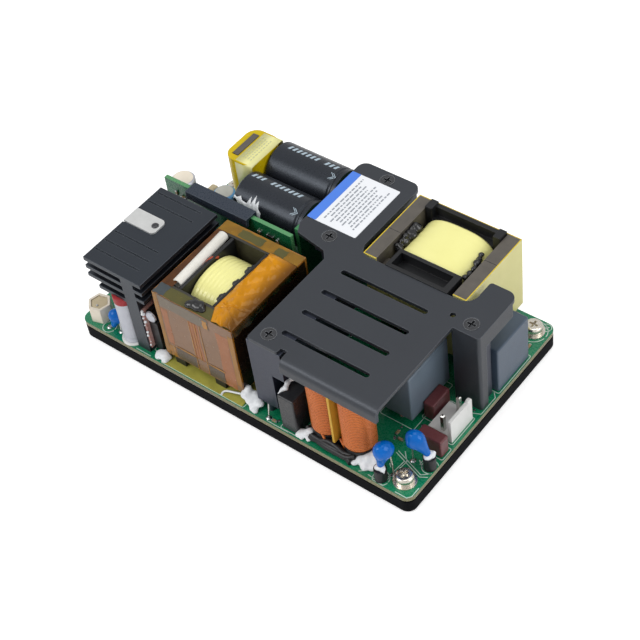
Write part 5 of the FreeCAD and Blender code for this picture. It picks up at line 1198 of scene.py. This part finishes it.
white_paper = surface("white_paper_sweep", "f4f4f4", "f0f0f0", patch=300, rough=0.9, grain=40, depth=0.0,
                      edge=0.1, Specular_IOR_Level=0.0)
paper_shader = part_of(white_paper, "shader")
white_paper.node_tree.links.new(strength_by_ray(white_paper.node_tree, direct=0.45, glossy=0.1, base=0.0),
                                paper_shader.inputs["Emission Strength"])
paper_shader.inputs["Emission Color"].default_value = (1, 1, 1, 1)
floor = flat_sheet("floor", 3.0, -0.0001)
floor.data.materials.append(white_paper)

# %% [markdown]
# The light is a white tent. An even world of strength 0.55 gives about half of it, one large soft
# lamp at the front left models the forms, a weaker one on the right lights the sides that face
# that way, and one above lights the tops. Their sum is about 1, the level at which a colour
# renders as its hex value says. The camera sees the tent as white, and gloss sees it at 0.7, so
# that black sheet stays black.

# %% Soft light
world = bpy.data.worlds.new("white_tent")
bpy.context.scene.world = world
world.use_nodes = True
world.node_tree.nodes.clear()
level = strength_by_ray(world.node_tree, direct=0.45, glossy=0.15, base=0.55)
tent = add(world.node_tree, "ShaderNodeBackground", {"Color": (1, 1, 1, 1), "Strength": level})
add(world.node_tree, "ShaderNodeOutputWorld", {"Surface": tent.outputs[0]})


def soft_lamp(name, place, size, power):
    """A square area lamp that looks at the middle of the object."""
    lamp = bpy.data.lights.new(name, "AREA")
    lamp.size = size
    lamp.energy = power
    holder = bpy.data.objects.new(name, lamp)
    holder.location = place
    holder.rotation_euler = (Vector((0, 0, 0.015)) - Vector(place)).to_track_quat("-Z", "Y").to_euler()
    bpy.context.scene.collection.objects.link(holder)


soft_lamp("lamp_front_left", (-0.35, -0.65, 0.7), 0.5, 3.4)
soft_lamp("lamp_right", (0.75, 0.15, 0.45), 0.5, 2.3)
soft_lamp("lamp_top", (0.05, 0.1, 0.9), 0.6, 1.7)
print("lamps: 3 and the white tent")

# %% [markdown]
# The camera stands front right and above, as the photograph's did. Its place was worked out from
# the board's corners: about 0.48 m away with a portrait lens.

# %% Camera
eye = bpy.data.cameras.new("camera")
eye.sensor_width = 36.0
eye.lens = 87.434
eye.clip_start = 0.01
camera = bpy.data.objects.new("camera", eye)
camera.location = (0.2271816, -0.2291289, 0.3584218)
camera.rotation_euler = [math.radians(a) for a in (42.28165206, 6.04152683, 37.76368384)]
bpy.context.scene.collection.objects.link(camera)
bpy.context.scene.camera = camera
bpy.context.scene.view_settings.view_transform = "Standard"
print("camera height in mm:", round(camera.location.z / MM))
